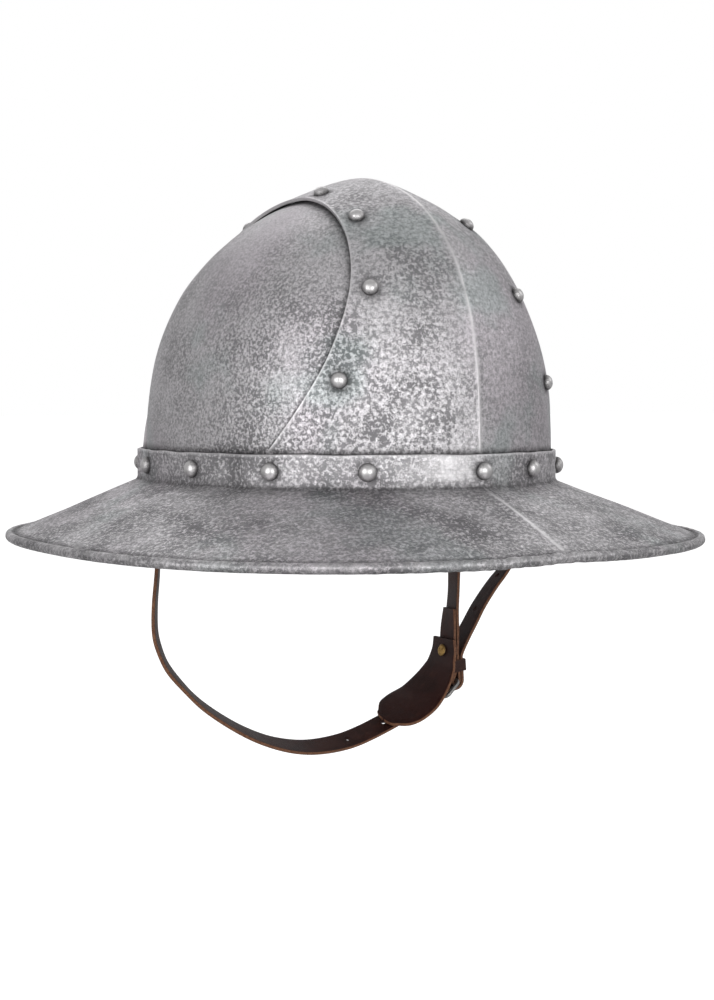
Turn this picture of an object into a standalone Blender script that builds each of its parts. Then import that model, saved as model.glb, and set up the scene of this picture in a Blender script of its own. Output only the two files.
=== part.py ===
# Kettle hat: a riveted steel crown, a wide brim and a leather chin strap.
# Metres, +Z up. The front looks along -Y and the wearer's left is +X.
# The origin is the middle of the head opening, level with the foot of the band.

import math
from collections import namedtuple

import bmesh
import bpy
from mathutils import Matrix, Vector

# Sizes of the crown, measured on the outside of the centre plate
DOME_HALF_WIDTH = 0.1038
DOME_HALF_LENGTH = 0.1168
DOME_HEIGHT = 0.1554
DOME_LEAN = 0.0073
RIDGE_HEIGHT = 0.003
RIDGE_REACH = 0.035
PLATE = 0.0016
GAP = 0.0003
LAP_GAP = 0.0006

# Shape powers of the crown: how it closes upwards, and how square it is in plan
WIDTH_RISE = 2.90
WIDTH_CLOSE = 1.54
LENGTH_RISE = 2.90
LENGTH_CLOSE = 1.82
PLAN_POWER = 2.10

# Sizes of the brim and of its upright band
BAND_HEIGHT = 0.0138
BAND_CLEARANCE = 0.0008
BAND_STEP_TURN = 0.10
FILLET = 0.0022
BAND_FOOT = 0.0022
RIM_HALF_WIDTH = 0.1729
RIM_HALF_LENGTH = 0.1768
RIM_DROP = 0.0310
RIM_FORWARD = 0.0059
RIM_POWER = 2.39
BEAD_DIAMETER = 0.0048
BEAD_STAND = 0.0008
BRIM_RIDGE = 0.0009

# Sizes of the rivets
BAND_HEAD = 0.0088
CROWN_HEAD = 0.0080
HEAD_RISE = 0.42
SHANK = 0.0036
TAIL = 0.0060
TAIL_THICKNESS = 0.0009
TAIL_GAP = 0.0008
BAND_RIVET_HEIGHT = 0.0058
STRAP_RIVET_TURN = 1.83

# Sizes of the chin strap and its buckle
STRAP_WIDTH = 0.014
STRAP_THICKNESS = 0.0020
STRAP_SPREAD = 0.0970
STRAP_DROP = 0.1540
STRAP_ABOVE_RIVET = 0.0075
STRAP_CLEARANCE = 0.0008
STRAP_BEND_SAMPLES = 3
FREE_TIP_LENGTH = 0.016
FREE_TIP_WIDTH = 0.005
HOLE_DIAMETER = 0.0032
HOLE_SPACING = 0.0257
PAD_WIDTH = 0.033
PAD_THICKNESS = 0.0022
BUCKLE_WIRE = 0.0024
BUCKLE_LENGTH = 0.0125
BUCKLE_TILT = math.radians(47.0)
BUCKLE_SIDE_GAP = 0.0013
PRONG_WIRE = 0.0018
KEEPER_WALL = 0.0010
KEEPER_LENGTH = 0.0070
KEEPER_PLACE = 0.0085
PAD_RIVET_HEAD = 0.0073
PAD_RIVET_RISE = 0.14
PAD_RIVET_TAIL = 0.0006

# Counts of facets
FAN_STEPS = 32
INNER_COLUMNS = 6
WINDOW_RINGS = 5
ROUND_STEPS = 56
RIVET_SIDES = 8
HOLE_SIDES = 8
WIRE_SIDES = 8
FOLD_STEPS = 4

# Edge of the centre plate beside the window of a side plate. The fan angle runs
# from the front foot (0) over the top (90); edge and lap are shares of the half width.
WindowRow = namedtuple("WindowRow", "fan edge lap")
WINDOW = (
    WindowRow(0, 0.885, 0.200),
    WindowRow(12, 0.840, 0.200),
    WindowRow(24, 0.748, 0.205),
    WindowRow(36, 0.620, 0.205),
    WindowRow(48, 0.500, 0.180),
    WindowRow(60, 0.420, 0.160),
    WindowRow(75, 0.362, 0.145),
    WindowRow(90, 0.335, 0.135),
)

# Rivets of the crown: fan angles from the front foot over the top, on both sides
CROWN_RIVET_FANS = (28.0, 45.7, 64.2, 81.0, 109.0, 123.0, 137.5, 152.0)

# Rivets of the band: turn from the front, positive to the wearer's left
BAND_RIVET_TURNS = (
    0.0, 0.345, 0.79, 1.30, STRAP_RIVET_TURN, 2.27, 2.71,
    math.pi, -0.517, -0.95, -1.40, -STRAP_RIVET_TURN, -2.27, -2.71,
)

# Route of the hanging strap, from the wearer's right to the buckle.
# Across is a share of the spread, down a share of the drop, turn in degrees.
RouteRow = namedtuple("RouteRow", "across down turn")
STRAP_ROUTE = (
    RouteRow(-0.990, 0.17, 24),
    RouteRow(-0.993, 0.31, 31),
    RouteRow(-1.010, 0.43, 33),
    RouteRow(-1.011, 0.52, 33),
    RouteRow(-0.990, 0.58, 31),
    RouteRow(-0.940, 0.65, 27),
    RouteRow(-0.850, 0.72, 22),
    RouteRow(-0.740, 0.79, 20),
    RouteRow(-0.590, 0.86, 19),
    RouteRow(-0.430, 0.92, 19),
    RouteRow(-0.265, 0.965, 19),
    RouteRow(-0.100, 0.992, 20),
    RouteRow(0.050, 1.000, 21),
    RouteRow(0.210, 0.994, 22),
    RouteRow(0.350, 0.975, 22),
    RouteRow(0.490, 0.948, 21),
    RouteRow(0.620, 0.921, 17),
    RouteRow(0.745, 0.892, 11),
)

# Route of the free end above the keeper, as shares of the same spread and drop
FREE_ROUTE = (
    RouteRow(1.075, 0.655, -2),
    RouteRow(1.135, 0.600, -4),
    RouteRow(1.200, 0.540, -6),
    RouteRow(1.295, 0.470, -8),
    RouteRow(1.400, 0.405, -8),
    RouteRow(1.470, 0.360, -8),
)

# Route of the short buckle strap, from its rivet down to the pad rivet
SHORT_ROUTE = (
    RouteRow(1.000, 0.16, -2),
    RouteRow(1.008, 0.31, 8),
    RouteRow(1.008, 0.45, 14),
    RouteRow(0.999, 0.54, 12),
    RouteRow(0.990, 0.62, 2),
    RouteRow(0.986, 0.70, 0),
)

# Middle of the buckle's heel bar
HEEL_PLACE = RouteRow(0.976, 0.812, 0)

# The strap line that the pad lies inside of, and the pad's half width as a share
# of PAD_WIDTH. Going down the wearer's left, a turn of the other sign tips it the same way.
PadRow = namedtuple("PadRow", "across down turn half_width")
PAD_ROUTE = (
    PadRow(0.986, 0.652, 0, 0.30),
    PadRow(0.984, 0.700, 0, 0.33),
    PadRow(0.968, 0.738, 0, 0.36),
    PadRow(0.942, 0.778, -3, 0.40),
    PadRow(0.874, 0.833, -7, 0.46),
    PadRow(0.772, 0.889, -12, 0.50),
    PadRow(0.660, 0.922, -17, 0.50),
    PadRow(0.574, 0.942, -19, 0.43),
    PadRow(0.515, 0.954, -20, 0.26),
)

STEEL_COLOUR = (0.42, 0.42, 0.43, 1.0)
SIDE_COLOUR = (0.36, 0.36, 0.37, 1.0)
BRIM_COLOUR = (0.30, 0.30, 0.31, 1.0)
RIVET_COLOUR = (0.55, 0.55, 0.55, 1.0)
LEATHER_COLOUR = (0.075, 0.032, 0.020, 1.0)
PAD_COLOUR = (0.045, 0.020, 0.016, 1.0)
BRASS_COLOUR = (0.60, 0.42, 0.16, 1.0)
IRON_COLOUR = (0.34, 0.33, 0.31, 1.0)

Section = namedtuple("Section", "centre tangent side half_width")


def clear_scene():
    for item in list(bpy.data.objects):
        bpy.data.objects.remove(item, do_unlink=True)


def new_collection(name):
    group = bpy.data.collections.new(name)
    bpy.context.scene.collection.children.link(group)
    return group


def new_material(name, colour, metallic, roughness):
    material = bpy.data.materials.new(name)
    material.use_nodes = True
    shader = material.node_tree.nodes["Principled BSDF"]
    shader.inputs["Base Color"].default_value = colour
    shader.inputs["Metallic"].default_value = metallic
    shader.inputs["Roughness"].default_value = roughness
    material.diffuse_color = colour
    return material


def add_object(name, mesh, material, group):
    item = bpy.data.objects.new(name, mesh)
    mesh.materials.append(material)
    group.objects.link(item)
    return item


def mesh_from(name, points, faces, smooth_angle=None):
    work = bmesh.new()
    corners = [work.verts.new(point) for point in points]
    for face in faces:
        work.faces.new([corners[index] for index in face])
    bmesh.ops.recalc_face_normals(work, faces=work.faces)
    mesh = bpy.data.meshes.new(name)
    work.to_mesh(mesh)
    work.free()
    if smooth_angle:
        mesh.shade_smooth()
        mesh.set_sharp_from_angle(angle=math.radians(smooth_angle))
    return mesh


def catmull(before, start, end, after, share):
    # A smooth curve through start and end, for numbers and for vectors
    square = share * share
    cube = square * share
    return 0.5 * (
        2.0 * start
        + (end - before) * share
        + (2.0 * before - 5.0 * start + 4.0 * end - after) * square
        + (3.0 * start - before - 3.0 * end + after) * cube
    )


def read_window(fan):
    # Edge and lap of the window at a fan angle, the same before and behind the top
    angle = min(fan, 180.0 - fan)
    last = len(WINDOW) - 1
    index = max(row for row in range(last) if WINDOW[row].fan <= angle or row == 0)
    start = WINDOW[index]
    end = WINDOW[index + 1]
    before = WINDOW[max(index - 1, 0)]
    after = WINDOW[min(index + 2, last)]
    if index + 2 > last:
        after = WINDOW[last - 1]
    share = (angle - start.fan) / (end.fan - start.fan)
    edge = catmull(before.edge, start.edge, end.edge, after.edge, share)
    lap = catmull(before.lap, start.lap, end.lap, after.lap, share)
    return edge * DOME_HALF_WIDTH, lap * DOME_HALF_WIDTH


def ridge(across):
    # Height of the keel above the plain dome
    near = max(0.0, 1.0 - abs(across) / RIDGE_REACH)
    return RIDGE_HEIGHT * near * near


def dome_section(height):
    # Half width, half length and forward shift of the plain dome at a height
    share = min(abs(height) / (DOME_HEIGHT - RIDGE_HEIGHT), 0.999999)
    width = DOME_HALF_WIDTH * (1.0 - share ** WIDTH_RISE) ** (1.0 / WIDTH_CLOSE)
    full_length = DOME_HALF_LENGTH - RIDGE_HEIGHT
    length = full_length * (1.0 - share ** LENGTH_RISE) ** (1.0 / LENGTH_CLOSE)
    return width, length, -DOME_LEAN * share * share


def dome_value(point):
    # Below 1 inside the crown's outer face, above 1 outside it
    radius = math.hypot(point.y, point.z)
    inner = max(radius - ridge(point.x), 0.0) / max(radius, 1e-9)
    height = point.z * inner
    if abs(height) >= DOME_HEIGHT - RIDGE_HEIGHT:
        return 2.0
    width, length, shift = dome_section(height)
    wide = abs(point.x / width) ** PLAN_POWER
    return wide + abs((point.y * inner - shift) / length) ** PLAN_POWER


def dome_at_fan(across, fan):
    # Point of the outer face over a width, at a fan angle about the X axis
    angle = math.radians(fan)
    way = Vector((0.0, -math.cos(angle), math.sin(angle)))
    near = 0.0
    far = 2.0 * DOME_HEIGHT
    for _ in range(45):
        middle = 0.5 * (near + far)
        if dome_value(Vector((across, 0.0, 0.0)) + way * middle) < 1.0:
            near = middle
        else:
            far = middle
    return Vector((across, 0.0, 0.0)) + way * near


def dome_at_side(side, along, height):
    # Point of the outer face beside a place on the middle plane
    width, length, shift = dome_section(height)
    share = min(abs((along - shift) / length), 1.0)
    return Vector((side * width * (1.0 - share ** PLAN_POWER) ** (1.0 / PLAN_POWER), along, height))


def dome_at_turn(turn, height):
    # Point of the outer face at a turn from the front, low on the crown
    width, length, shift = dome_section(height)
    power = 2.0 / PLAN_POWER
    sine = math.sin(turn)
    cosine = math.cos(turn)
    across = width * math.copysign(abs(sine) ** power, sine)
    along = shift - length * math.copysign(abs(cosine) ** power, cosine)
    radius = math.hypot(along, height)
    grow = 1.0 + ridge(across) / max(radius, 1e-9)
    return Vector((across, along * grow, height * grow))


def dome_normal(point):
    step = 1e-5
    slopes = []
    for axis in range(3):
        offset = Vector((0.0, 0.0, 0.0))
        offset[axis] = step
        slopes.append(dome_value(point + offset) - dome_value(point - offset))
    return Vector(slopes).normalized()


def plan_normal(turn, height):
    # Level direction out of the crown, square to its plan outline
    step = 1e-3
    along = dome_at_turn(turn + step, height) - dome_at_turn(turn - step, height)
    return Vector((along.y, -along.x, 0.0)).normalized()


def side_depth():
    # How far the side plates' outer face lies under the centre plate's
    return PLATE + LAP_GAP


def crown_depth(turn):
    # Depth of the crown's inner face at the band, under the centre plate's outer face
    edge, lap = read_window(0.0)
    if abs(dome_at_turn(turn, 0.0).x) < edge - lap:
        return PLATE
    return side_depth() + PLATE


def solidify(item, thickness):
    modifier = item.modifiers.new("plate", "SOLIDIFY")
    modifier.thickness = thickness
    modifier.offset = -1.0
    modifier.use_even_offset = True


def cut(item, cutter):
    modifier = item.modifiers.new("holes", "BOOLEAN")
    modifier.operation = "DIFFERENCE"
    modifier.solver = "EXACT"
    modifier.object = cutter


def grid_faces(rows, columns, closed=False):
    faces = []
    for row in range(rows if closed else rows - 1):
        for column in range(columns - 1):
            first = row * columns + column
            second = ((row + 1) % rows) * columns + column
            faces.append((first, first + 1, second + 1, second))
    return faces


def outward(mesh):
    # Open surfaces of the crown face away from its middle
    middle = Vector((0.0, 0.0, 0.4 * DOME_HEIGHT))
    face = max(mesh.polygons, key=lambda poly: poly.area)
    if face.normal.dot(Vector(face.center) - middle) < 0.0:
        mesh.flip_normals()
    return mesh


def centre_plate(material, group):
    # Keeled plate that runs over the head from the front to the back
    points = []
    for step in range(FAN_STEPS + 1):
        fan = 180.0 * step / FAN_STEPS
        edge, lap = read_window(fan)
        inner = edge - lap
        half = [edge, edge - 0.5 * lap]
        half += [inner * (1.0 - column / INNER_COLUMNS) for column in range(INNER_COLUMNS)]
        for across in [-width for width in half] + [0.0] + half[::-1]:
            points.append(dome_at_fan(across, fan))
    columns = 2 * (INNER_COLUMNS + 2) + 1
    mesh = outward(mesh_from("centre_plate", points, grid_faces(FAN_STEPS + 1, columns), 12))
    item = add_object("centre_plate", mesh, material, group)
    solidify(item, PLATE)
    return item


def side_plate(name, side, material, group):
    # Rounded plate under the centre plate, which shows through its window
    points = []
    for step in range(FAN_STEPS + 1):
        fan = 180.0 * step / FAN_STEPS
        edge, lap = read_window(fan)
        rim = dome_at_fan(side * edge, fan)
        row = [dome_at_fan(side * (edge - share * lap), fan) for share in (1.0, 0.5)] + [rim]
        for ring in range(WINDOW_RINGS, 0, -1):
            share = ring / (WINDOW_RINGS + 1)
            row.append(dome_at_side(side, rim.y * share, rim.z * share))
        points.extend(point - dome_normal(point) * side_depth() for point in row)
    columns = WINDOW_RINGS + 3
    faces = grid_faces(FAN_STEPS + 1, columns)
    foot = dome_at_side(side, 0.0, 0.0)
    points.append(foot - dome_normal(foot) * side_depth())
    for step in range(FAN_STEPS):
        faces.append(((step + 1) * columns - 1, len(points) - 1, (step + 2) * columns - 1))
    item = add_object(name, outward(mesh_from(name, points, faces, 40)), material, group)
    solidify(item, PLATE)
    return item


def band_inset(turn):
    # The band steps in where no centre plate lies under it
    side_turn = abs(abs(turn) - 0.5 * math.pi)
    edge, _ = read_window(0.0)
    edge_turn = 0.5 * math.pi - math.asin((edge / DOME_HALF_WIDTH) ** (0.5 * PLAN_POWER))
    share = (edge_turn - side_turn) / BAND_STEP_TURN
    share = min(max(share, 0.0), 1.0)
    return side_depth() * share * share * (3.0 - 2.0 * share)


def band_point(turn, height, outside):
    # Point on the band's outer or inner face
    offset = BAND_CLEARANCE - band_inset(turn)
    if outside:
        offset += PLATE
    foot = dome_at_turn(turn, 0.0)
    return Vector((foot.x, foot.y, height)) + plan_normal(turn, 0.0) * offset


def rim_point(turn):
    power = 2.0 / RIM_POWER
    sine = math.sin(turn)
    cosine = math.cos(turn)
    across = RIM_HALF_WIDTH * math.copysign(abs(sine) ** power, sine)
    along = -RIM_FORWARD - RIM_HALF_LENGTH * math.copysign(abs(cosine) ** power, cosine)
    return Vector((across, along, -RIM_DROP))


def brim_section(turn):
    # Closed outline of the band, the sloping brim and its rolled edge
    up = Vector((0.0, 0.0, 1.0))
    foot = band_point(turn, -BAND_FOOT, True)
    rim = rim_point(turn)
    level = Vector((rim.x - foot.x, rim.y - foot.y, 0.0)).normalized()
    roll = 0.5 * BEAD_DIAMETER
    keel = BRIM_RIDGE * max(0.0, 1.0 - abs(rim.x) / RIDGE_REACH)
    centre = rim - level * roll + up * keel
    groove = centre - level * roll + up * (roll - BEAD_STAND)
    slope = (groove - foot).normalized()
    out = Vector((-slope.z * level.x, -slope.z * level.y, slope.dot(level)))
    start = foot + up * FILLET
    end = foot + slope * FILLET
    bend = 0.25 * (start + 2.0 * foot + end)
    lean = (level + out).normalized()
    outline = [band_point(turn, BAND_HEIGHT, True), start, bend, end, groove]
    for angle in (118, 68, 18, -32, -82, -132):
        arc = math.radians(angle)
        outline.append(centre + (level * math.cos(arc) + up * math.sin(arc)) * roll)
    under = groove - out * PLATE
    outline.append(under - slope * PLATE * 0.2)
    outline += [end - out * PLATE, bend - lean * PLATE]
    outline += [band_point(turn, height, False) for height in (FILLET - BAND_FOOT, BAND_HEIGHT)]
    return outline


def brim(material, group):
    # Band, brim and rolled edge in one piece, lofted round the head
    points = []
    for step in range(ROUND_STEPS):
        points.extend(brim_section(2.0 * math.pi * step / ROUND_STEPS - math.pi))
    count = len(points) // ROUND_STEPS
    faces = []
    for step in range(ROUND_STEPS):
        after = (step + 1) % ROUND_STEPS
        for index in range(count):
            other = (index + 1) % count
            faces.append((step * count + index, step * count + other,
                          after * count + other, after * count + index))
    mesh = mesh_from("brim", points, faces, 35)
    return add_object("brim", mesh, material, group)


def rivet_mesh(name, head, rise_share, length, tail_thickness):
    # Turned rivet: domed head above z = 0, shank and flat tail below
    rise = head * rise_share
    profile = [Vector((0.0, 0.0, rise))]
    for angle in (60, 32, 0):
        arc = math.radians(angle)
        profile.append(Vector((0.5 * head * math.cos(arc), 0.0, rise * math.sin(arc))))
    shank = 0.5 * SHANK
    tail = 0.5 * TAIL
    profile += [Vector((shank, 0.0, 0.0)), Vector((shank, 0.0, -length))]
    profile += [Vector((tail, 0.0, -length)), Vector((tail, 0.0, -length - tail_thickness))]
    profile.append(Vector((0.0, 0.0, -length - tail_thickness)))
    mesh = bpy.data.meshes.new(name)
    mesh.from_pydata(profile, [(index, index + 1) for index in range(len(profile) - 1)], [])
    return mesh


def place_on(item, point, normal):
    item.matrix_world = Matrix.Translation(point) @ normal.to_track_quat("Z", "Y").to_matrix().to_4x4()


def rivet(name, head, length, point, normal, material, group):
    # Steel rivet, whose head and tail each stand off the plates by a small gap
    mesh = rivet_mesh(name, head, HEAD_RISE, length + GAP + TAIL_GAP, TAIL_THICKNESS)
    return turned_rivet(name, mesh, point + normal * GAP, normal, material, group)


def turned_rivet(name, mesh, point, normal, material, group):
    item = add_object(name, mesh, material, group)
    turned = item.modifiers.new("turned", "SCREW")
    turned.steps = RIVET_SIDES
    turned.render_steps = RIVET_SIDES
    turned.use_merge_vertices = True
    turned.merge_threshold = 0.00001
    turned.use_smooth_shade = True
    place_on(item, point, normal)
    return item


def add_hole(work, point, normal, diameter, depth):
    # One closed cylinder through the metal, wide enough for its facets to clear
    radius = 0.5 * diameter / math.cos(math.pi / HOLE_SIDES)
    frame = Matrix.Translation(point) @ normal.to_track_quat("Z", "Y").to_matrix().to_4x4()
    bmesh.ops.create_cone(work, cap_ends=True, segments=HOLE_SIDES, radius1=radius,
                          radius2=radius, depth=depth, matrix=frame)


def cutter_from(name, work, cutters):
    mesh = bpy.data.meshes.new(name)
    work.to_mesh(mesh)
    work.free()
    item = bpy.data.objects.new(name, mesh)
    item.hide_render = True
    item.display_type = "WIRE"
    cutters.objects.link(item)
    return item


def crown_rivet_places():
    places = []
    for side in (-1.0, 1.0):
        for fan in CROWN_RIVET_FANS:
            edge, lap = read_window(fan)
            point = dome_at_fan(side * (edge - 0.5 * lap), fan)
            places.append((point, dome_normal(point)))
    return places


def band_rivet_places():
    places = []
    for turn in BAND_RIVET_TURNS:
        point = band_point(turn, BAND_RIVET_HEIGHT, True)
        depth = BAND_CLEARANCE - band_inset(turn) + PLATE + crown_depth(turn)
        depth += ridge(point.x) - ridge(abs(point.x) + 0.5 * TAIL)
        if abs(turn) == STRAP_RIVET_TURN:
            depth += STRAP_CLEARANCE + STRAP_THICKNESS
        places.append((point, plan_normal(turn, 0.0), depth))
    return places


def rivets(steel, group, cutters):
    # Rivets of the crown and the band, and the holes that they pass through
    work = bmesh.new()
    hole = SHANK + 2.0 * GAP
    stack = PLATE + side_depth()
    for count, (point, normal) in enumerate(crown_rivet_places(), start=1):
        rivet(f"crown_rivet_{count:02d}", CROWN_HEAD, stack, point, normal, steel, group)
        add_hole(work, point, normal, hole, 4.0 * stack)
    for count, (point, normal, depth) in enumerate(band_rivet_places(), start=1):
        rivet(f"band_rivet_{count:02d}", BAND_HEAD, depth, point, normal, steel, group)
        add_hole(work, point, normal, hole, 4.0 * depth)
    return cutter_from("rivet_holes", work, cutters)


def strap_root(side):
    # Middle of a strap behind its rivet, and the way its width lies there
    turn = side * STRAP_RIVET_TURN
    normal = plan_normal(turn, 0.0)
    depth = crown_depth(turn) + STRAP_CLEARANCE + 0.5 * STRAP_THICKNESS
    wall = dome_at_turn(turn, 0.0) - normal * depth
    tilt = math.atan2(abs(normal.y), abs(normal.x))
    return wall, tilt


def buckle_frame_axes():
    # Middle of the heel bar, the way down the buckle and the way out of it
    down = Vector((-math.sin(BUCKLE_TILT), 0.0, -math.cos(BUCKLE_TILT)))
    out = Vector((math.cos(BUCKLE_TILT), 0.0, -math.sin(BUCKLE_TILT)))
    heel = Vector((HEEL_PLACE.across * STRAP_SPREAD, strap_plane(), -HEEL_PLACE.down * STRAP_DROP))
    return heel, down, out


def strap_plane():
    # The straps hang in one upright plane, through their rivets
    return strap_root(1.0)[0].y


def route_points(rows):
    plane = strap_plane()
    return [(Vector((row.across * STRAP_SPREAD, plane, -row.down * STRAP_DROP)), row.turn)
            for row in rows]


def smooth_route(knots, samples=STRAP_BEND_SAMPLES):
    # Knots are (point, turn) pairs; returns a finer smooth list of the same
    fine = []
    last = len(knots) - 1
    for index in range(last):
        rows = [knots[min(max(index + shift, 0), last)] for shift in (-1, 0, 1, 2)]
        for step in range(samples):
            share = step / samples
            fields = zip(*rows)
            fine.append(tuple(catmull(*field, share) for field in fields))
    fine.append(knots[last])
    return fine


def width_way(tangent, turn):
    # The way a strap's width lies: along Y, tipped by a turn about the route
    across = Vector((0.0, 1.0, 0.0))
    inward = tangent.cross(across).normalized()
    return across * math.cos(math.radians(turn)) + inward * math.sin(math.radians(turn))


def strap_sections(route, half_widths):
    # Sections square to the route
    sections = []
    last = len(route) - 1
    for index, half in enumerate(half_widths):
        ahead = route[min(index + 1, last)][0] - route[max(index - 1, 0)][0]
        tangent = ahead.normalized()
        sections.append(Section(route[index][0], tangent, width_way(tangent, route[index][1]), half))
    return sections


def swept_strap(name, sections, thickness, material, group):
    # Flat leather of a plain rectangular section, closed at both ends
    points = []
    for section in sections:
        lift = section.tangent.cross(section.side).normalized() * 0.5 * thickness
        reach = section.side * section.half_width
        centre = section.centre
        points += [centre - reach - lift, centre + reach - lift,
                   centre + reach + lift, centre - reach + lift]
    faces = []
    for index in range(len(sections) - 1):
        for corner in range(4):
            after = (corner + 1) % 4
            faces.append((4 * index + corner, 4 * index + after,
                          4 * index + 4 + after, 4 * index + 4 + corner))
    end = 4 * (len(sections) - 1)
    faces += [(3, 2, 1, 0), (end, end + 1, end + 2, end + 3)]
    return add_object(name, mesh_from(name, points, faces, 35), material, group)


def root_knots(side):
    # The strap lies flat on the inside of the crown, down past the foot of the plates
    wall, tilt = strap_root(side)
    turn = -side * math.degrees(tilt)
    top = BAND_RIVET_HEIGHT + STRAP_ABOVE_RIVET
    heights = (top, BAND_RIVET_HEIGHT, 0.0, -0.25 * top, -0.55 * top)
    return [(Vector((wall.x, wall.y, height)), turn) for height in heights]


def chin_route():
    # From the wearer's right, under the chin and through the buckle to the free tip
    heel, down, out = buckle_frame_axes()
    way, strap_out = fold_axes()
    under = heel + down * BUCKLE_LENGTH - out * (fold_radius() + 2.0 * GAP)
    radius = fold_radius() + layer_pitch()
    before = smooth_route(root_knots(-1.0) + route_points(STRAP_ROUTE) + [(under, 0.0)])
    back = (under - heel).normalized()
    bend = math.acos(radius / (under - heel).length)
    start = math.atan2(back.z, back.x) + bend
    sweep = (math.atan2(strap_out.z, strap_out.x) - start) % math.tau
    arc = []
    for step in range(FOLD_STEPS + 1):
        angle = start + sweep * step / FOLD_STEPS
        arc.append((heel + Vector((math.cos(angle), 0.0, math.sin(angle))) * radius, 0.0))
    held = keeper_middle() + strap_out * (1.5 * layer_pitch() + 0.5 * GAP)
    leave = strap_out * 0.5 * STRAP_THICKNESS - way * KEEPER_LENGTH
    after = [(held + way * 0.5 * KEEPER_LENGTH, 0.0), (held - way * 0.5 * KEEPER_LENGTH, 0.0)]
    after.append((held + leave, 0.0))
    return before + arc + smooth_route(after + route_points(FREE_ROUTE))


def layer_pitch():
    # From the middle of one layer of strap leather to the middle of the next
    return STRAP_THICKNESS + GAP


def fold_radius():
    # From the middle of the heel bar to the middle of the leather wrapped round it
    return 0.5 * BUCKLE_WIRE + GAP + 0.5 * STRAP_THICKNESS


def fold_axes():
    # Way down and way out of the short strap between its rivet and the heel bar
    heel, _, _ = buckle_frame_axes()
    start = route_points(SHORT_ROUTE)[-1][0]
    way = (heel - start).normalized()
    for _ in range(4):
        out = Vector((-way.z, 0.0, way.x))
        way = (heel + out * fold_radius() - start).normalized()
    return way, Vector((-way.z, 0.0, way.x))


def keeper_middle():
    # Between the two layers of the short strap, under the keeper
    start = route_points(SHORT_ROUTE)[-1][0]
    way, out = fold_axes()
    return start + way * KEEPER_PLACE - out * 0.5 * layer_pitch()


def free_half_widths(route):
    # Full width, then a taper to the tip
    lengths = [0.0]
    for index in range(len(route) - 1, 0, -1):
        lengths.append(lengths[-1] + (route[index][0] - route[index - 1][0]).length)
    halves = []
    for distance in reversed(lengths):
        share = min(distance / FREE_TIP_LENGTH, 1.0)
        halves.append(0.5 * (FREE_TIP_WIDTH + (STRAP_WIDTH - FREE_TIP_WIDTH) * math.sqrt(share)))
    return halves


def point_along(route, start, distance):
    # Place and tangent on a route, a distance on from the point nearest to start
    index = min(range(len(route)), key=lambda place: (route[place][0] - start).length)
    step = 1 if distance >= 0.0 else -1
    left = abs(distance)
    while True:
        here = route[index][0]
        there = route[index + step][0]
        span = (there - here).length
        if span >= left:
            way = (there - here).normalized()
            return here + way * left, way * step, route[index][1]
        left -= span
        index += step


def strap_hole_cutter(route, prong_middle, cutters):
    # Punched holes before and beyond the buckle, at one spacing
    work = bmesh.new()
    for place in (-3, -2, -1, 1, 2, 3):
        point, tangent, turn = point_along(route, prong_middle, place * HOLE_SPACING)
        face = tangent.cross(width_way(tangent, turn))
        add_hole(work, point, face, HOLE_DIAMETER, 3.0 * STRAP_THICKNESS)
    return cutter_from("strap_holes", work, cutters)


def tube(name, points, diameter, cyclic, material, group):
    # Round wire along a line of points, made a mesh so that it can be one closed body
    curve = bpy.data.curves.new(name + "_line", "CURVE")
    curve.dimensions = "3D"
    curve.bevel_depth = 0.5 * diameter
    curve.bevel_resolution = WIRE_SIDES // 2 - 2
    curve.use_fill_caps = not cyclic
    line = curve.splines.new("POLY")
    line.points.add(len(points) - 1)
    for target, point in zip(line.points, points):
        target.co = (point.x, point.y, point.z, 1.0)
    line.use_cyclic_u = cyclic
    guide = bpy.data.objects.new(name + "_line", curve)
    group.objects.link(guide)
    bpy.context.view_layer.update()
    mesh = bpy.data.meshes.new_from_object(guide.evaluated_get(bpy.context.evaluated_depsgraph_get()))
    bpy.data.objects.remove(guide, do_unlink=True)
    work = bmesh.new()
    work.from_mesh(mesh)
    bmesh.ops.remove_doubles(work, verts=work.verts, dist=0.00001)
    bmesh.ops.recalc_face_normals(work, faces=work.faces)
    work.to_mesh(mesh)
    work.free()
    mesh.materials.clear()
    mesh.name = name
    mesh.shade_smooth()
    mesh.set_sharp_from_angle(angle=math.radians(50))
    return add_object(name, mesh, material, group)


def buckle(iron, group):
    # Wire frame with rounded corners, heel bar and front bar across the strap
    heel, down, out = buckle_frame_axes()
    across = Vector((0.0, 1.0, 0.0))
    half = 0.5 * (STRAP_WIDTH + BUCKLE_WIRE) + BUCKLE_SIDE_GAP
    corner = BUCKLE_WIRE
    points = []
    middle = heel + down * 0.5 * BUCKLE_LENGTH
    for side_y, side_d in ((-1, -1), (1, -1), (1, 1), (-1, 1)):
        pivot = middle + across * side_y * (half - corner) + down * side_d * (0.5 * BUCKLE_LENGTH - corner)
        start = {(-1, -1): 180, (1, -1): 270, (1, 1): 0, (-1, 1): 90}[(side_y, side_d)]
        for angle in (0, 45, 90):
            arc = math.radians(start + angle)
            points.append(pivot + (across * math.cos(arc) + down * math.sin(arc)) * corner)
    return tube("buckle_frame", points, BUCKLE_WIRE, True, iron, group)


def prong_points():
    # From the outside of the heel bar to rest on the front bar
    heel, down, out = buckle_frame_axes()
    lift = 0.5 * (BUCKLE_WIRE + PRONG_WIRE) + GAP
    ring = []
    for angle in (-150, -105, -60, -15, 30, 75):
        arc = math.radians(angle)
        ring.append(heel + (out * math.sin(arc) - down * math.cos(arc)) * lift)
    tip = heel + down * (BUCKLE_LENGTH + 0.5 * BUCKLE_WIRE) + out * lift
    return ring + [heel + out * lift, heel + out * lift + down * 0.5 * BUCKLE_LENGTH, tip]


def prong(iron, group):
    return tube("buckle_prong", prong_points(), PRONG_WIRE, False, iron, group)


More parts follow.
